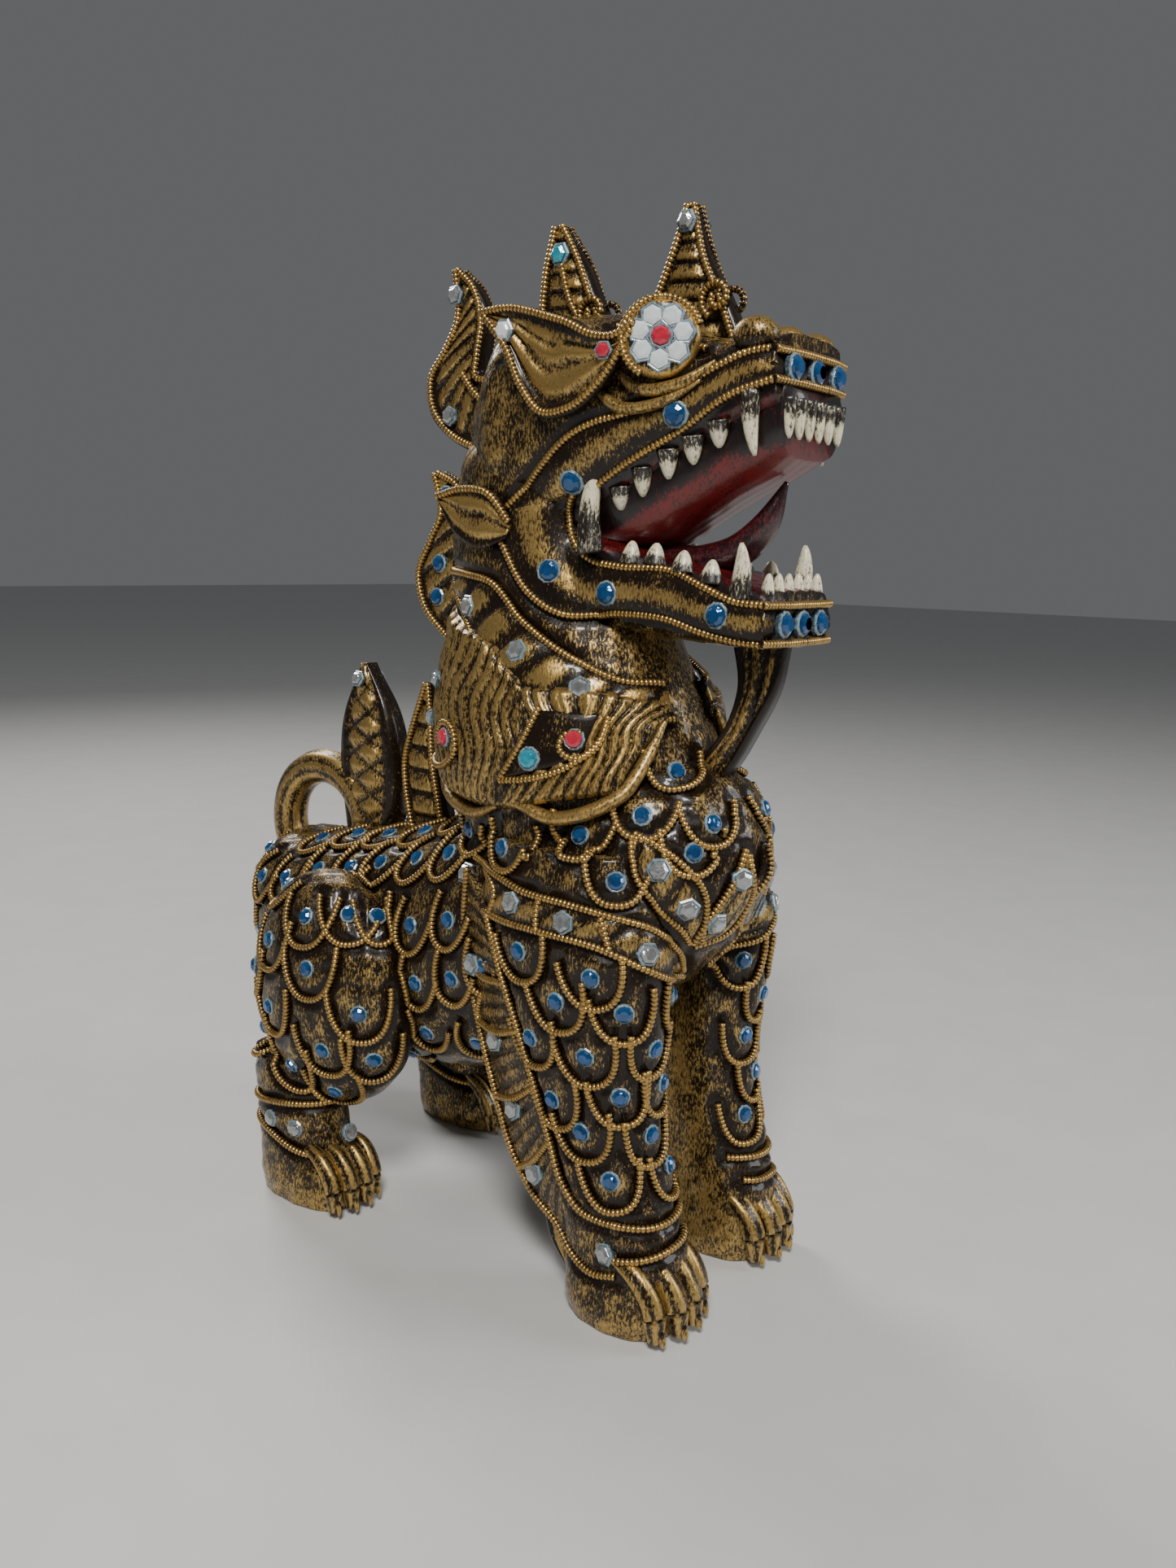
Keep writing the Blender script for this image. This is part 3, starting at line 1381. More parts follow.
@dataclass
class Band(Assembly):
    """Shoulder band, breast pendants and the strip down the back of the front leg."""

    upper: list = field(default_factory=lambda: [(-38, -24, 143), (-44, -40, 141), (-47, -52, 139),
                                                 (-47, -71, 138), (-43, -82, 136), (-35, -93, 132),
                                                 (-26, -97, 124), (-13, -91, 113)])
    lower: list = field(default_factory=lambda: [(-37, -22, 129), (-42, -33, 128), (-48, -46, 128),
                                                 (-49, -60, 128), (-45, -82, 126), (-36, -92, 120),
                                                 (-24, -94, 114), (-11, -90, 110)])

    def lay(self) -> None:
        """Lay the bands, their ropes and their stones."""
        self.shoulder()
        self.pendants()
        self.strip()

    def shoulder(self) -> None:
        """Band round the shoulder with mirror stones."""
        ropes = Ropes()
        for edge in (self.upper, self.lower):
            ropes.on_skin(edge)
        ropes.on_skin([(-47, -60, 139), (-49, -60, 134), (-49, -60, 128)])
        ropes.on_skin([(-46, -82, 136), (-46, -84, 131), (-45, -85, 126)])
        ropes.on_skin([(-41, -32, 141), (-43, -38, 135), (-43, -36, 128)])
        band = Ribbon(self.upper, self.lower, Relief.STRIPES, count=9, height=1.1).build()
        self.gild("shoulder_band", both_sides(band))
        self.lay_ropes("shoulder_ropes", ropes)
        gems = set_stones([(-34, -18, 136), (-45, -47, 134), (-48, -70, 132.5), (-37, -93, 125)],
                          Stone(Cut.HEXAGON, 3.0, 2.0), lift=1.0)
        self.set_glass("band_stones", both_sides(gems), self.palette.clear, Slot.MIRROR,
                        pair("breast_stones"))

    def pendants(self) -> None:
        """Leaf pendants that meet on the breast."""
        outer = [(-34, -84, 158), (-36, -87, 148), (-31, -93, 137), (-24, -98, 129), (-21, -99, 124)]
        inner = [(-33, -84, 160), (-31, -91, 157), (-27, -99, 151), (-22, -103, 143), (-20, -102, 124)]
        left = [(-21, -99, 125), (-19, -104, 134), (-14, -109, 145), (-9, -110, 155)]
        right = [(-20, -99, 124), (-11, -107, 128), (-5, -110, 138), (-8, -110, 155)]
        ropes = Ropes()
        for edge in (outer, inner, left, right):
            ropes.on_skin(edge)
        leaves = [Ribbon(outer, inner, Relief.STRIPES, count=5, height=1.4),
                  Ribbon(left, right, Relief.GROOVES, count=3, height=1.3)]
        patch = both_sides(*[leaf.build() for leaf in leaves])
        self.gild("breast_leaves", patch, pair("breast_pendant"))
        self.lay_ropes("breast_ropes", ropes)
        gems = set_stones([(-32, -93, 150), (-26, -100, 138), (-11, -110, 146), (-16, -104, 132)],
                          Stone(Cut.HEXAGON, 3.1, 2.0), lift=1.2)
        self.set_glass("leaf_stones", both_sides(gems), self.palette.clear, Slot.MIRROR)

    def strip(self) -> None:
        """Strip down the back edge of the front leg, running on round the ankle."""
        outer = [(-39, -22, 140), (-38, -20, 118), (-37, -25, 90), (-37, -33, 66), (-36, -42, 42),
                 (-36, -51, 31), (-38, -62, 26), (-41, -71, 20), (-43.5, -81, 18), (-43, -90, 20)]
        inner = [(-45, -36, 128), (-46, -44, 108), (-45, -51, 90), (-44, -57, 73), (-43, -62, 58),
                 (-43, -68, 44), (-43, -75, 37.5), (-43, -83, 36.5), (-42.5, -90, 37)]
        n, m = 190, 13
        left, right = through(outer, n), through(inner, n)
        grid, along, across = between(left, right, m)
        away = unit(np.array([-0.9, 0.25, 0.1]))
        carve = relief_height(Relief.STRIPES, along, across, 26)
        bulge = np.sin(math.pi * across)**0.5 + 0 * along
        top = grid + away * (1.0 * bulge * (0.3 + 0.7 * carve))[..., None]
        under = (grid - away * 9)[:, ::-1]
        level = np.concatenate([0.45 * bulge * (0.3 + 0.7 * carve), 0 * bulge], axis=1)
        strip = tube(np.concatenate([top, under], axis=1), level)
        ropes = Ropes()
        facing = (-0.95, 0.1, 0.1)
        ropes.flat(outer, facing)
        ropes.flat(inner, facing)
        for share in (0.2, 0.34, 0.5, 0.66):
            at = int(share * n)
            ropes.flat([tuple(left[at]), tuple((left[at] + right[at]) / 2 - [0.8, 0, 2.2]), tuple(right[at])],
                       facing)
        ropes.on_skin([(-44, -86, 25), (-40, -97, 27), (-33, -103, 29), (-24, -104, 30), (-16, -99, 31)],
                      None, HIDE)
        ropes.on_skin([(-43, -88, 37), (-38, -98, 37), (-30, -102, 37.5), (-22, -100, 38), (-15, -92, 38)],
                      None, HIDE)
        stones = [(-42.5, -27, 108), (-42, -37, 84), (-41.5, -45, 62), (-41, -54, 42), (-44.5, -86, 27)]
        self.gild("leg_strips", both_sides(strip), pair("front_leg_strip"))
        self.lay_ropes("strip_ropes", ropes, pair("front_cuff"))
        gems = face_stones(stones, facing, Stone(Cut.HEXAGON, 3.0, 1.8))
        self.set_glass("strip_stones", both_sides(gems), self.palette.clear, Slot.MIRROR)


@dataclass
class Mane(Assembly):
    """Collar leaf, two lobes of wavy strands on each side, and their leaves."""

    def lay(self) -> None:
        """Lay the collar, strands, leaves and curls."""
        self.collar()
        self.strands()
        self.leaves()

    def collar(self) -> None:
        """Slanting leaf round the throat between two ropes, striped in gold."""
        top = [(-18, 6, 236), (-28, -10, 235), (-29, -22, 233), (-31, -36, 222), (-30, -56, 211),
               (-24, -72, 205), (-12, -80, 204)]
        low = [(-20, 8, 233), (-30, -8, 222), (-33, -22, 210), (-34, -40, 200), (-32, -58, 195),
               (-24, -76, 193), (-12, -84, 193)]
        ropes = Ropes()
        for edge in (top, low):
            ropes.on_skin(edge, None)
        band = Ribbon(top, low, Relief.STRIPES, count=8, height=2.0, way=None, shade=0.7).build()
        self.gild("collar", both_sides(band), pair("collar_leaf"))
        self.lay_ropes("collar_ropes", ropes)
        gems = set_stones([(-31, -12, 225), (-32, -38, 211), (-29, -60, 201)], Stone(Cut.HEXAGON, 3.0, 2.0),
                          way=None, lift=1.6)
        self.set_glass("collar_stones", both_sides(gems), self.palette.clear, Slot.MIRROR,
                        pair("mane_stones"))

    def strands(self) -> None:
        """Strands swept from under the collar down and back, in a rear and a front lobe."""
        over = Union([MANE])
        lobes = [Ribbon([(0, 8, 233), (0, 14, 212), (-4, 16, 190), (-18, 8, 166)],
                        [(-34, -43, 201), (-38, -47, 188), (-40, -44, 174), (-40, -38, 162)],
                        Relief.GROOVES, count=15, height=3.4, sink=4.0, way=None, shade=0.64, fine=130),
                 Ribbon([(-34, -39, 201), (-38, -46, 188), (-40, -42, 174), (-40, -37, 162)],
                        [(-10, -84, 196), (-24, -86, 191), (-32, -84, 182), (-36, -80, 172)],
                        Relief.GROOVES, count=10, height=4.0, sink=4.0, way=None, shade=0.66, fine=110)]
        patches = [lobe.build(over) for lobe in lobes]
        for hem in ([(-12, 12, 172), (-26, 4, 163), (-36, -8, 158), (-40, -22, 157), (-40, -36, 163)],
                    [(-40, -36, 164), (-40, -45, 165), (-40, -58, 162), (-38, -70, 165), (-34, -80, 172),
                     (-26, -85, 184), (-16, -86, 196)]):
            line = over.settle(np.array(hem, float))
            line = line + 0.8 * over.normal(line)
            patches.append(limb(line, [(0.8, 0.8), (2.6, 2.2), (3.0, 2.4), (2.4, 2.0), (0.8, 0.8)],
                                gild=0.62))
        self.gild("mane_strands", both_sides(*patches), pair("mane"))

    def leaves(self) -> None:
        """Three-cornered leaf and curls lying on the strands, with their stones."""
        ropes = Ropes()
        over = Union([Carved([(s, x, y, a + 3.4, b + 3.4, q) for s, x, y, a, b, q in MANE.rows], True)])
        for points in ([(-38, -52, 196), (-38, -47, 184), (-38, -40, 172)],
                       [(-38, -40, 172), (-38, -52, 174), (-38, -64, 179), (-38, -71, 187), (-37, -72, 196)],
                       [(-38, -72, 192), (-38, -70, 184), (-38, -65, 181), (-38, -60, 184),
                        (-38, -61, 188), (-38, -66, 189)],
                       [(-30, 10, 172), (-34, -2, 171), (-36, -11, 173), (-36, -18, 179), (-36, -15, 186),
                        (-36, -8, 186), (-36, -6, 181), (-36, -10, 179)]):
            ropes.on_skin(points, INWARD, over)
        self.lay_ropes("mane_ropes", ropes)
        leaf = Ribbon([(-38, -51, 195), (-38, -46, 184), (-38, -41, 173)],
                      [(-38, -70, 195), (-38, -68, 185), (-38, -44, 173)], Relief.PLAIN, height=1.0, sink=4.0,
                      way=INWARD, shade=0.35).build(over)
        self.maker.make("mane_leaf", both_sides(leaf), [self.palette.hide], Slot.GILT)
        red = set_stones([(-38, -64, 187), (-36, -11, 182)], Stone(Cut.ROUND, 2.7, 1.9), over, INWARD)
        blue = set_stones([(-38, -51, 180)], Stone(Cut.ROUND, 3.0, 2.0), over, INWARD, 1.0)
        white = set_stones([(-30, 2, 200), (-30, 8, 186)], Stone(Cut.HEXAGON, 2.4, 1.8), over, None)
        self.set_glass("mane_red_stones", both_sides(red), self.palette.red, Slot.RED)
        self.set_glass("mane_blue_stones", both_sides(blue), self.palette.cyan, Slot.BLUE)
        self.set_glass("mane_clear_stones", both_sides(white), self.palette.clear, Slot.MIRROR)


@dataclass
class Face(Assembly):
    """Mouldings of the lips and jaw, eyes, brows, nubs, ears and cheek leaves."""

    lip: list = field(default_factory=lambda: [(-24, -22, 252), (-24, -42, 269), (-24, -54, 278),
                                               (-24, -84, 287), (-24, -99, 295), (-23, -110, 299),
                                               (-20.6, -117.6, 299.5)])
    under_lip: list = field(default_factory=lambda: [(-24, -58, 262), (-24, -66, 267), (-23, -89, 279),
                                                     (-23, -105, 288), (-20.6, -117.6, 291.5)])
    jaw_top: list = field(default_factory=lambda: [(-24, -53, 262), (-24, -48, 256), (-24, -49, 248),
                                                   (-23, -57, 241), (-23, -67, 239), (-23, -85, 238),
                                                   (-23, -97, 234), (-22, -109, 230), (-20, -117.6, 229.5)])
    jaw_low: list = field(default_factory=lambda: [(-24, -20, 256), (-24, -27, 244), (-24, -38, 230),
                                                   (-23, -49, 224), (-23, -68, 225), (-23, -86, 224),
                                                   (-23, -97, 221), (-22, -109, 219), (-20, -117.6, 218.5)])

    def lay(self) -> None:
        """Lay every part of the face."""
        self.lips()
        self.eyes()
        self.ears()
        self.nubs()
        self.tongue()

    def lips(self) -> None:
        """Ropes along lips and jaw, the raised panels between them, and their stones."""
        ropes = Ropes()
        for edge in (self.lip, self.under_lip, self.jaw_top, self.jaw_low):
            ropes.on_skin(edge, INWARD)
        sides = both_sides(ropes.patch())
        fronts = Ropes()
        for z in (299.5, 291.5, 229.5, 218.5):
            wide = 20.8
            fronts.flat([(-wide, -117.4, z), (-wide / 2, -119.0, z), (0, -119.2, z), (wide / 2, -119.0, z),
                         (wide, -117.4, z)], (0, -1, 0))
        self.maker.make("face_ropes", join([sides, fronts.patch()]), [self.palette.bead], Slot.BEAD)
        panels = [Ribbon(self.lip, self.under_lip, Relief.PLAIN, height=1.2, way=INWARD, shade=0.56),
                  Ribbon(self.jaw_top, self.jaw_low, Relief.PLAIN, height=1.6, way=INWARD, shade=0.58)]
        patch = both_sides(*[panel.build() for panel in panels])
        self.gild("face_panels", patch)
        round_stone = Stone(Cut.ROUND, 3.1, 2.2)
        gems = set_stones([(-25, -44, 237), (-24, -64, 231), (-24, -88, 283), (-27, -53, 264.5),
                           (-24, -103, 226)], round_stone, BODY, INWARD, 1.0)
        front = face_stones([(x, -119.6, z) for x, z in ((-13, 295.3), (0, 295.3), (-11, 224), (0, 224))],
                            (0, -1, 0), round_stone)
        self.set_glass("face_stones", both_sides(gems, front), self.palette.blue, Slot.BLUE,
                        pair("jaw_stones"))

    def eyes(self) -> None:
        """Eye boss, rim, seven white petals round a red middle, and the brow."""
        away = unit(np.array([-0.86, -0.48, 0.12]))
        side = unit(np.cross([0, 0, 1], away))
        over = np.cross(away, side)
        seat = np.array([-27.0, -84.0, 303.6])
        angle = np.linspace(0, 2 * math.pi, 40, endpoint=False)
        flat = np.cos(angle)[:, None] * side + np.sin(angle)[:, None] * over
        sizes = [(4, -9), (10.4, -8), (11.2, -2), (11.3, 0.6), (10.4, 2.2), (9.0, 2.6), (0.5, 2.8)]
        rings = np.stack([seat + size * flat + rise * away for size, rise in sizes])
        boss = tube(rings, np.array([0, 0.1, 0.3, 0.8, 0.75, 0.1, 0.1])[:, None])
        self.gild("eye_bosses", both_sides(boss), pair("eye_boss"))
        turn = np.arange(7) * 2 * math.pi / 7 + 0.2
        petals = seat + 6.4 * (np.cos(turn)[:, None] * side + np.sin(turn)[:, None] * over) + 2.4 * away
        facing = np.broadcast_to(away, petals.shape)
        white = Stone(Cut.HEXAGON, 2.95, 1.2).set_at(petals, facing)
        self.set_glass("eye_petals", both_sides(white), self.palette.white, Slot.WHITE,
                        pair("eye_petals"))
        red = Stone(Cut.OCTAGON, 2.8, 2.0).set_at((seat + 2.6 * away)[None], away[None])
        self.set_glass("eye_centres", both_sides(red), self.palette.red, Slot.RED,
                        pair("eye_centre"))
        ropes = Ropes()
        rim = seat + 11.4 * flat + 0.8 * away
        upper = rim[np.argsort((angle - 0.2) % (2 * math.pi))][:26]
        ropes.along(through(upper, 40), np.broadcast_to(away, (40, 3)))
        ropes.on_skin([(-26, -66, 316), (-27, -77, 319), (-27, -88, 315), (-26, -97, 308)], None)
        folds = [limb([(-28, -68, 296), (-28, -78, 290), (-26, -90, 291), (-23, -100, 297)],
                      [(0.8, 0.8), (2.4, 2.0), (2.2, 1.8), (0.6, 0.6)]),
                 limb([(-29, -60, 293), (-29, -72, 285), (-27, -84, 286), (-24, -96, 292)],
                      [(0.8, 0.8), (2.2, 1.8), (2.0, 1.6), (0.6, 0.6)])]
        self.lay_ropes("brow_ropes", ropes)
        self.gild("cheek_folds", both_sides(*folds))

    def ears(self) -> None:
        """Dished ears with ridges and a roped rim, and the cheek leaves behind them."""
        low = [(-22, 315), (-32, 303), (-38, 291), (-46, 283), (-57, 284), (-67, 291), (-78, 306)]
        high = [(-21, 315), (-34, 316), (-45, 314), (-55, 311), (-65, 306), (-72, 305), (-79, 308)]
        ear = Flame(low, high, -31.8, 3.8, Relief.GROOVES, count=4, depth=0.62, dish=2.0)
        ropes = Ropes()
        ear.rim(ropes, 0.05, both=False)
        leaf = Flame([(0, 259), (-8, 248), (-18, 243.5), (-29, 247)],
                     [(0, 260), (-12, 263), (-22, 262), (-31, 252)], -29.5, 2.8, Relief.GROOVES, 2, 0.5)
        leaf.rim(ropes, 0.05, left=False, both=False)
        patch = both_sides(ear.build(), leaf.build())
        self.gild("ears", patch, pair("ear") + pair("cheek_leaf"))
        self.lay_ropes("ear_ropes", ropes)
        gems = face_stones([(-34.6, -31, 309)], (-1, 0, 0), Stone(Cut.HEXAGON, 2.9, 1.8))
        pink = face_stones([(-34.6, -69, 300.5)], (-1, -0.3, 0), Stone(Cut.HEXAGON, 2.2, 1.5))
        self.set_glass("ear_stones", both_sides(gems), self.palette.white, Slot.MIRROR)
        self.set_glass("ear_pink_stones", both_sides(pink), self.palette.red, Slot.RED)

    def nubs(self) -> None:
        """Three rounded knobs across the top of the snout."""
        patches = []
        for x, size in ((-17, 5.4), (0, 5.0), (17, 5.4)):
            skin = Ball((x, -109, 304), (size, size + 1.6, size)).skin(24, 28)
            rise = (skin[..., 2] - 302) / 8
            patches.append(tube(skin, np.clip(0.2 + 0.6 * rise, 0, 1)))
        self.gild("snout_knobs", join(patches), ("snout_nubs",))

    def tongue(self) -> None:
        """Tongue that curls up to a point, and the strut from chin to breast."""
        tongue = limb([(0, -52, 240), (0, -70, 242), (0, -86, 242), (0, -97, 245), (0, -105, 252),
                       (0, -112, 265)], [(9, 5), (9.5, 4.5), (9, 4.5), (8, 5), (5, 4), (0.7, 0.7)])
        self.maker.make("tongue_piece", tongue, [self.palette.tongue], Slot.MAROON, ("tongue",))
        strut = Flame([(-90, 168), (-99, 178), (-106, 190), (-113, 204), (-116, 218)],
                      [(-80, 170), (-89, 181), (-97, 192), (-100, 203), (-97, 218)], 0, 5.2,
                      Relief.GROOVES, 3, 0.45)
        self.maker.make("beard_strut", strut.build(), [self.palette.hide], Slot.GILT, ("chin_strut",))


@dataclass
class Teeth(Assembly):
    """Fangs, tusks, cheek teeth and fore teeth."""

    def lay(self) -> None:
        """Set the teeth."""
        side = [peg((-20, -110, 289), (-20.5, -112.5, 271), 3.5, (0, 0.8, 0)),
                peg((-25, -59, 243), (-24, -61.5, 274), 4.6, (0, 2.2, 0)),
                peg((-18.5, -108.5, 231), (-19.5, -109, 247), 3.9, (0, -0.6, 0))]
        upper = [(-100, 281, 273.5), (-91.5, 277, 269), (-83, 273.5, 265), (-74, 268.5, 260), (-66, 263, 256)]
        lower = [(-69, 240, 247), (-78, 240, 246.5), (-88, 238, 244.5), (-98, 235, 242)]
        side += [peg((-20.5, y, high), (-20, y - 0.5, low), 3.9) for y, high, low in upper]
        side += [peg((-18, y, low), (-17.5, y - 0.5, high), 4.0) for y, low, high in lower]
        front = []
        for x in (-15, -9, -3):
            front.append(peg((x, -119, 287), (x, -120, 276), 3.0))
            front.append(peg((x, -115.5, 230), (x, -116, 238.5), 2.9))
        self.maker.make("teeth", both_sides(*side, *front), [self.palette.tooth], Slot.TOOTH,
                        ("fangs", "tusks", "cheek_teeth", "fore_teeth"))


@dataclass
class Crests(Assembly):
    """Flames on the head, nape and withers, with curls and stones."""

    def lay(self) -> None:
        """Make each flame with its ropes, curls and stones."""
        front = Flame([(-58, 308), (-64, 320), (-70, 332), (-75, 346.5)],
                      [(-96, 306), (-90, 318), (-83, 330), (-77, 346.5)], 0, 4.6, Relief.STEPS, 7)
        middle = Flame([(-18, 310), (-19, 322), (-21, 334), (-24, 346.5)],
                       [(-50, 308), (-43, 320), (-36, 334), (-27, 346.5)], 0, 4.6, Relief.STEPS, 7)
        rear = Flame([(-8, 273), (8, 276), (22, 282), (31, 291), (32, 301), (25, 310), (19, 320), (20, 338)],
                     [(-10, 300), (-4, 301), (2, 302), (8, 303), (7, 310), (5, 320), (10, 331), (19, 338)],
                     0, 4.6, Relief.STEPS, 12)
        nape = Flame([(10, 203), (24, 212), (35, 222), (38, 233), (32, 245), (27, 254), (30, 270)],
                     [(8, 212), (12, 222), (15, 232), (15, 244), (14, 256), (17, 265), (28, 270)], 0, 4.4,
                     Relief.STEPS, 8)
        withers = Flame([(40, 134), (44, 150), (45, 163), (41, 176), (34, 194)],
                        [(22, 134), (25, 150), (28, 163), (30, 178), (33, 194)], 0, 4.4, Relief.STEPS, 7)
        ropes = Ropes()
        flames = {"crest_front": front, "crest_middle": middle, "crest_rear": rear, "nape_flame": nape,
                  "withers_flame": withers}
        for label, flame in flames.items():
            flame.rim(ropes)
            self.maker.make(f"{label}_plate", flame.build(), [self.palette.hide], Slot.GILT, (label,))
        inner = [[(-40, 312), (-33, 322), (-29, 334)], [(-2, 282), (2, 291), (9, 297), (14, 303)]]
        for curve in inner:
            for x in (-4.4, 4.4):
                ropes.flat([(x, y, z) for y, z in curve], (x, 0, 0))
        for y, z, radius, start in ((-88, 318, 5.6, -1.2), (-42, 318, 5.4, -1.2), (-1, 292, 5.6, -1.0)):
            for x in (-4.6, 4.6):
                curl = spiral((x, y, z), radius, 1.35, start)
                ropes.along(curl, np.broadcast_to([x / abs(x), 0, 0], curl.shape))
        self.maker.make("crest_ropes", ropes.patch(), [self.palette.bead], Slot.BEAD)
        hexagon = Stone(Cut.HEXAGON, 2.7, 1.8)
        clear = [(-4.2, -76, 341), (-4.6, -77, 313), (-4.6, 20, 289), (-4.6, 3, 283), (-4.2, 18, 329)]
        self.set_glass("crest_clear_stones", both_sides(face_stones(clear, (-1, 0, 0), hexagon)),
                       self.palette.clear, Slot.MIRROR)
        cyan = face_stones([(-4.4, -28, 337)], (-1, 0, 0), Stone(Cut.HEXAGON, 3.0, 1.9))
        self.set_glass("crest_cyan_stones", both_sides(cyan), self.palette.cyan, Slot.BLUE)
        blue = face_stones([(-4.2, 25, 238), (-4.2, 26, 226), (-4.0, 22, 262)], (-1, 0, 0), Stone(radius=2.6))
        self.set_glass("nape_stones", both_sides(blue), self.palette.blue, Slot.BLUE)


@dataclass
class Feet(Assembly):
    """Toes and claws, ankle ropes, heel spurs."""

    def lay(self) -> None:
        """Carve the paws."""
        toes = []
        for k, x in enumerate((-41.5, -34, -26, -18.5)):
            lead = (0, 3.4, 3.6, 1.2)[k]
            toes.append(limb([(x * 0.9 - 3, -87 - lead, 25), (x, -97 - lead, 21.5), (x, -103 - lead, 13),
                              (x, -104.5 - lead, 3)], [(2.6, 2.0), (3.9, 3.4), (4.1, 3.8), (2.2, 2.4)],
                             (0, 0.2, 1), 0.25, 5, 0.5))
            toes.append(peg((x, -104 - lead, 8), (x, -107 - lead, 1.8), 2.3, (0, -1.0, 0)))
        for k, x in enumerate((-52.5, -46.3, -39.7, -33.5)):
            lead = (0, 2.6, 2.8, 0.6)[k]
            toes.append(limb([(x * 0.9 - 4.3, 45 - lead, 23), (x, 37 - lead, 20), (x, 31.5 - lead, 12),
                              (x, 30.5 - lead, 3)], [(2.2, 2.0), (3.1, 3.0), (3.3, 3.2), (1.9, 2.0)],
                             (0, 0.2, 1), 0.25, 5, 0.5))
            toes.append(peg((x, 31 - lead, 9), (x, 28 - lead, 1.6), 1.9, (0, -1.0, 0)))
        self.gild("toes", both_sides(*toes))
        spur = Flame([(-52, 34), (-52, 26), (-55, 16), (-62, 6)], [(-68, 35), (-69, 26), (-68, 16), (-63, 6)],
                     -30, 4.2, Relief.GROOVES, 2, 0.45)
        self.gild("heel_spurs", both_sides(spur.build()), pair("heel_spur"))
        ropes = Ropes()
        angle = np.linspace(-0.3, 2 * math.pi - 0.3, 80)
        for mass, level, tilt in ((SHANK, 24, 4.0), (SHANK, 38, -2.0)):
            ring = mass.surface(np.full(80, float(level)), angle)
            ring[:, 2] += tilt * np.sin(angle)
            ring = Union([SHANK]).settle(ring)
            ropes.along(ring, Union([SHANK]).normal(ring))
        self.lay_ropes("hind_ankle_ropes", ropes, pair("hind_cuff"))
        gems = set_stones([(-58, 50, 30), (-58, 62, 31), (-50, 34, 29)], Stone(Cut.ROUND, 2.6, 1.8),
                          Union([SHANK]), INWARD)
        self.set_glass("ankle_stones", both_sides(gems), self.palette.clear, Slot.MIRROR)


@dataclass
class Tail(Assembly):
    """Looped tail and its plaited plume."""

    def lay(self) -> None:
        """Bend the tail and carve the plume."""
        turn = np.radians(np.linspace(-26, 206, 15))
        loop = [(0, 91 + 24 * math.cos(a), 131 + 24 * math.sin(a)) for a in turn]
        tail = limb(loop, [(7, 7), (7, 7), (6.8, 6.8), (6.6, 6.6), (7, 7)], (1, 0, 0), 0.22, 9, 0.5)
        self.gild("tail_loop", tail, ("tail",))
        plume = Flame([(74, 128), (77, 148), (78, 166), (76, 180), (68, 199)],
                      [(56, 128), (49, 146), (49, 162), (53, 180), (65, 199)], 0, 7.5, Relief.PLAIT, 7, 0.22)
        self.gild("plume", plume.build(), ("tail_plume",))
        gem = face_stones([(-5.5, 67, 193)], (-1, 0, 0.3), Stone(Cut.HEXAGON, 2.6, 1.8))
        self.set_glass("plume_stones", both_sides(gem), self.palette.clear, Slot.MIRROR)


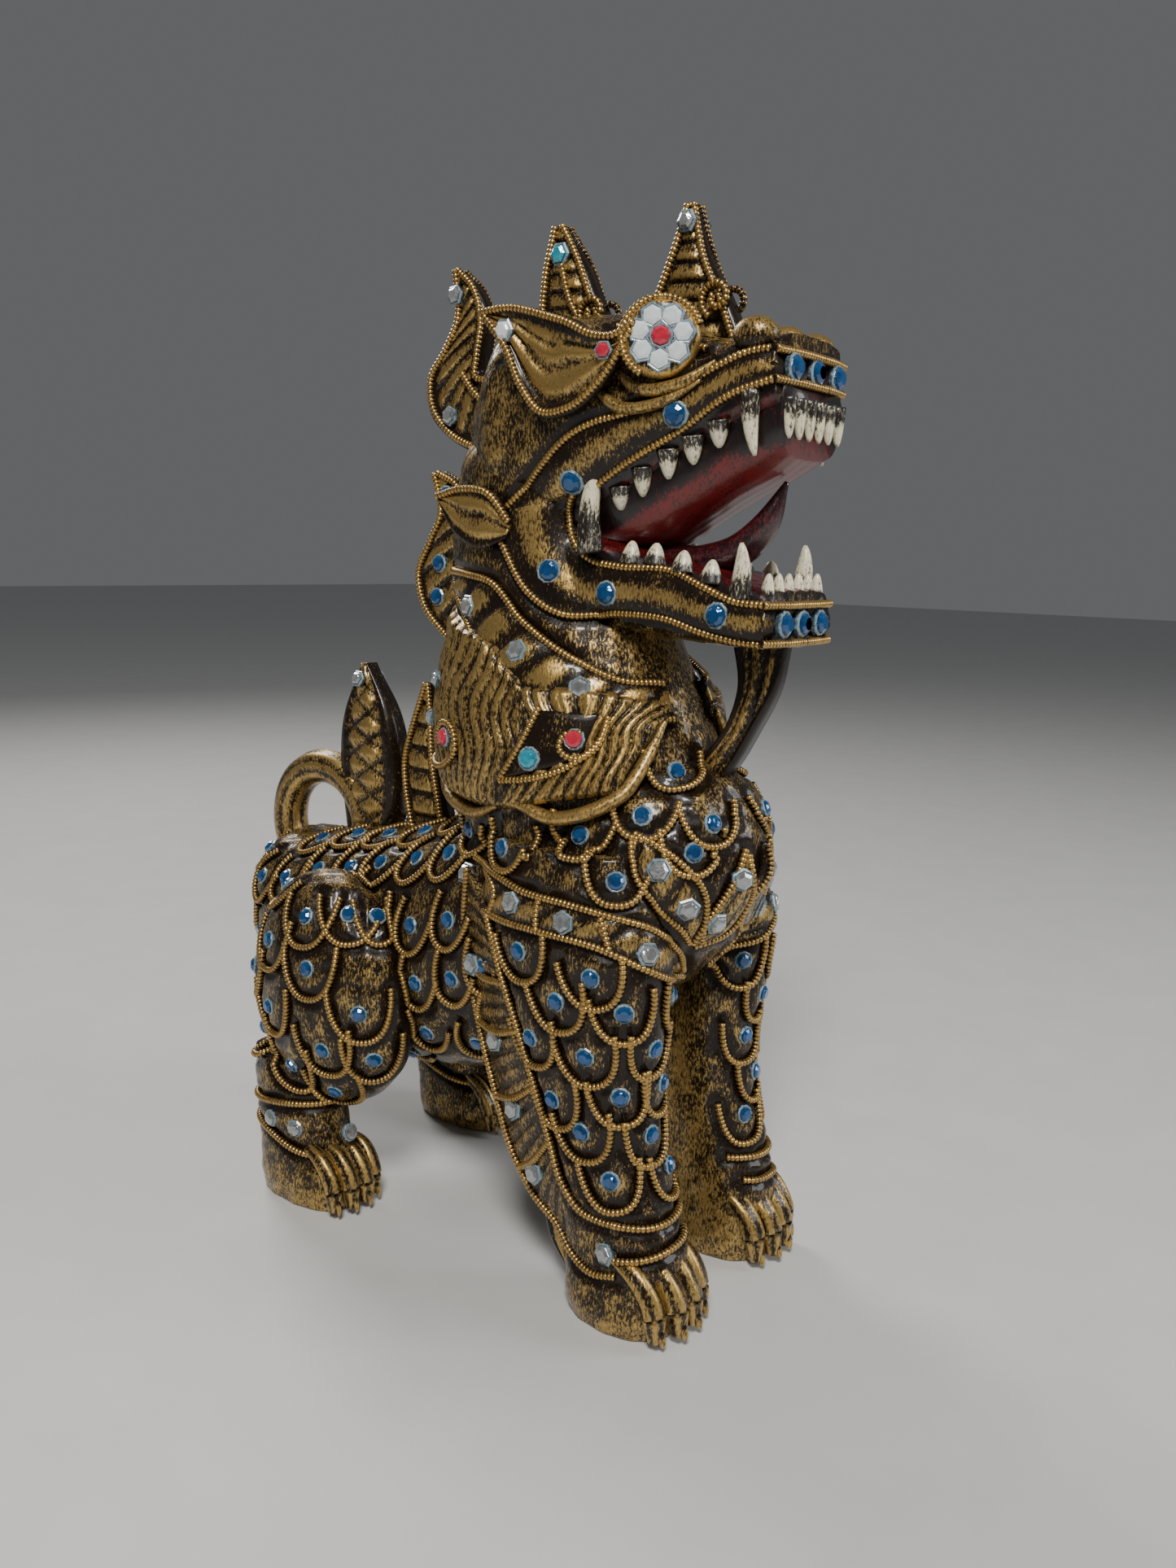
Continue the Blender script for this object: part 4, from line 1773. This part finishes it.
@dataclass
class Ground(Assembly):
    """Carved masses under the ornament, dipped beside the mouldings and raised between them."""

    rise: float = 1.1
    dip: float = 0.5
    chisel: float = 0.22
    slope: tuple = (1.4, 4.5)
    gild_slope: tuple = (2.0, 5.5)
    bare: tuple = (9.0, 16.0)
    near_red: float = -44.0
    throat: tuple = (236.0, 272.0)
    upper_lip: tuple = ((40, 58, 66, 89, 105, 118), (255, 261, 266, 278, 287, 290.5))
    lower_lip: tuple = ((40, 49, 57, 67, 85, 97, 109, 118), (262, 249, 241, 239, 238, 234, 230, 229))
    gum: tuple = ((60, 66, 83, 100, 118), (251, 254, 263, 272, 276))

    def pad(self, grid: Array, mass: object, plain: float = 0.5) -> tuple[Array, Array]:
        """Raise the ground away from the moulding.

        Height is the rise times a smooth step of the distance to the nearest moulding, over the
        slope's two distances, less the dip. The gilding follows the same step, and falls back to
        the plain value where no moulding is near. A slow set of chisel facets is added to both.
        Nothing goes below the ground.

        Args:
            grid: skin points, shape (n, m, 3).
            mass: the mass they are on, for its normals.
            plain: gilding away from the mouldings.

        Returns:
            The raised points and their gilding, of shapes (n, m, 3) and (n, m).
        """
        flat = grid.reshape(-1, 3)
        marks = np.concatenate(Ropes.trail)
        marks = np.concatenate([marks, marks * [-1, 1, 1]])
        low, high = flat.min(0) - 6, flat.max(0) + 6
        marks = marks[((marks > low) & (marks < high)).all(1)]
        gap = nearest(flat, marks)
        facets = np.sin(flat[:, 0] * 0.9 + flat[:, 2] * 0.31) * np.sin(flat[:, 1] * 0.53 + flat[:, 2] * 0.42)
        lift = self.rise * ramp(gap, *self.slope) - self.dip + self.chisel * facets
        bare = ramp(gap, *self.bare)
        gild = 0.1 + 0.42 * ramp(gap, *self.gild_slope) * (1 - bare) + plain * bare + 0.1 * facets
        normal = Union([mass]).normal(flat)
        raised = flat + normal * lift[:, None]
        raised[:, 2] = np.maximum(raised[:, 2], 0)
        return raised.reshape(grid.shape), np.clip(gild, 0, 1).reshape(grid.shape[:2])

    def lay(self) -> None:
        """Make the skins of trunk, neck, head, jaw and legs."""
        self.trunk()
        self.skull()
        self.legs()

    def trunk(self) -> None:
        """Torso and neck."""
        skin, gild = self.pad(TORSO.skin(210, 240), TORSO, 0.35)
        self.carve("trunk", tube(skin, gild), "torso")
        skin, gild = self.pad(NECK.skin(130, 200), NECK, 0.62)
        patch = tube(skin, gild)
        middle = patch.points[patch.quads].mean(1)
        low, high = self.throat
        throat = (middle[:, 1] < self.near_red) & (middle[:, 2] > low) & (middle[:, 2] < high)
        patch.quad_marks = throat.astype(int)
        self.carve("neck_skin", patch, "neck")

    def skull(self) -> None:
        """Head and jaw, with the inside of the mouth in red lacquer."""
        skin, gild = self.pad(HEAD.skin(130, 200), HEAD, 0.45)
        patch = tube(skin, gild)
        middle = patch.points[patch.quads].mean(1)
        lip = np.interp(-middle[:, 1], *self.upper_lip)
        patch.quad_marks = ((middle[:, 2] < lip) & (middle[:, 1] < self.near_red)).astype(int)
        self.carve("skull", patch, "head")
        skin = PALATE.skin(70, 110)
        stroke = 0.07 * np.sin(skin[..., 0] * 1.3 + 0.8 * np.sin(skin[..., 1] * 0.3))
        gum = np.interp(-skin[..., 1], *self.gum)
        level = 0.1 + 0.7 * ramp(gum - skin[..., 2], 0, 4) + 0.5 * stroke
        self.maker.make("palate", tube(skin + [0, 0, 1] * stroke[..., None], level), [self.palette.mouth],
                        Slot.MAROON)
        skin, gild = self.pad(JAW.skin(110, 160), JAW, 0.45)
        patch = tube(skin, gild)
        middle = patch.points[patch.quads].mean(1)
        lip = np.interp(-middle[:, 1], *self.lower_lip)
        patch.quad_marks = ((middle[:, 2] > lip) & (middle[:, 1] < -40)).astype(int)
        self.carve("jaw_skin", patch, "lower_jaw")

    def legs(self) -> None:
        """Front legs, haunches and shanks."""
        skin, gild = self.pad(FORELEG.skin(170, 130), FORELEG, 0.62)
        self.carve("front_legs", both_sides(tube(skin, gild)), *pair("front_leg"))
        haunch, first = self.pad(HAUNCH.skin(110, 180), HAUNCH, 0.45)
        shank, second = self.pad(SHANK.skin(70, 110), SHANK, 0.6)
        self.carve("hind_legs", both_sides(tube(haunch, first), tube(shank, second)), *pair("hind_leg"))


class Dowel:
    """Wooden dowel of the tail, left as the frame's own piece."""

    def dress(self, nodes: dict) -> None:
        """Give the dowel a wood: rings of growth stretched along its length.

        Args:
            nodes: the frame's nodes by name.
        """
        material, w, shader = blank_material("dowel_wood")
        place = w.add("ShaderNodeTexCoord").outputs["Object"]
        rings = w.add("ShaderNodeTexWave", Vector=place, Scale=260.0, Distortion=3.0)
        grain = w.mix(rings.outputs["Fac"], (0.30, 0.19, 0.09), (0.52, 0.36, 0.19))
        w.join(grain, shader.inputs["Base Color"])
        shader.inputs["Roughness"].default_value = 0.6
        node = nodes["tail_dowel"]
        for slot in node.material_slots:
            slot.material = material
        if not node.material_slots:
            node.data.materials.append(material)


# ------------------------------------------------------------------ stage


@dataclass(frozen=True)
class Stage:
    """Pale floor, soft studio light and the camera."""

    eye: tuple = (-335.2, -294.0, 243.0)
    ahead: tuple = (0.7852, 0.5917, -0.1823)
    roll: float = 0.02564
    lens: float = 28.6

    def build(self, datum: Datum) -> None:
        """Place floor, lights, world and camera.

        Args:
            datum: carries the camera's drawing place onto the frame.
        """
        self.floor()
        for label, place, size, power, tint in (
                ("key", (-0.75, -0.55, 1.15), 0.3, 19.0, (1.0, 0.97, 0.93)),
                ("fill", (0.55, -1.05, 0.65), 0.5, 6.0, (0.95, 0.97, 1.0)),
                ("back", (0.35, 0.95, 0.95), 0.4, 8.0, (1.0, 0.98, 0.95))):
            self.light(label, place, size, power, tint)
        world = bpy.data.worlds.new("studio")
        world.use_nodes = True
        world.node_tree.nodes["Background"].inputs["Color"].default_value = (0.9, 0.92, 0.95, 1)
        world.node_tree.nodes["Background"].inputs["Strength"].default_value = 0.14
        bpy.context.scene.world = world
        self.camera(datum)

    def floor(self) -> None:
        """Plain pale floor with a faint grain."""
        material, w, shader = blank_material("studio_floor")
        place = w.add("ShaderNodeTexCoord").outputs["Object"]
        grain = w.mix(w.noise(place, 30.0), (0.55, 0.55, 0.54), (0.62, 0.62, 0.61))
        w.join(grain, shader.inputs["Base Color"])
        shader.inputs["Roughness"].default_value = 0.55
        mesh = bpy.data.meshes.new("floor")
        mesh.from_pydata([(-6, -6, -0.0004), (6, -6, -0.0004), (6, 6, -0.0004), (-6, 6, -0.0004)], [],
                         [(0, 1, 2, 3)])
        mesh.materials.append(material)
        floor = bpy.data.objects.new("floor", mesh)
        bpy.context.scene.collection.objects.link(floor)
        floor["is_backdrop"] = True

    def light(self, label: str, place: tuple, size: float, power: float, tint: tuple) -> None:
        """Area light aimed at the middle of the lion.

        Args:
            label: the light's name.
            place: where it hangs, in metres.
            size: side of the square, in metres.
            power: its power in watts.
            tint: its colour.
        """
        data = bpy.data.lights.new(label, "AREA")
        data.size, data.energy, data.color = size, power, tint
        lamp = bpy.data.objects.new(label, data)
        lamp.location = place
        lamp.rotation_euler = (Vector((0, 0, 0.17)) - Vector(place)).to_track_quat("-Z", "Y").to_euler()
        bpy.context.scene.collection.objects.link(lamp)

    def camera(self, datum: Datum) -> None:
        """Camera at the viewing angle, rolled a little.

        Args:
            datum: carries its drawing place onto the frame.
        """
        ahead = unit(np.array(self.ahead))
        right = unit(np.cross(ahead, [0, 0, 1]))
        up = np.cross(right, ahead)
        c, s = math.cos(self.roll), math.sin(self.roll)
        across, over = c * right + s * up, c * up - s * right
        place = datum.metres(np.array(self.eye))
        data = bpy.data.cameras.new("camera")
        data.lens, data.sensor_width, data.sensor_fit = self.lens, 36.0, "AUTO"
        data.clip_start = 0.01
        camera = bpy.data.objects.new("camera", data)
        camera.matrix_world = Matrix([[across[k], over[k], -ahead[k], place[k]] for k in range(3)]
                                     + [[0, 0, 0, 1]])
        bpy.context.scene.collection.objects.link(camera)
        bpy.context.scene.camera = camera


def main() -> None:
    """Build the lion over the frame."""
    logging.basicConfig(level=logging.INFO, format="%(name)s %(message)s")
    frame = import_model()
    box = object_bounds()
    cad_box = [list(box[0]), list(box[1])]
    datum = Datum(cad_box, (-57.94, -117.62, 0.0), (57.94, 122.0, 346.8))
    palette = Palette()
    maker = Maker(datum)
    for part in (Coat, Band, Mane, Face, Crests, Teeth, Feet, Tail, Ground):
        part(maker, palette).lay()
    Dowel().dress(frame["nodes"])
    Stage().build(datum)
    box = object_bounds()
    LOG.info("visual box %s %s", list(box[0]), list(box[1]))
    LOG.info("%d triangles in all", maker.triangles)


if __name__ == "__main__":
    main()
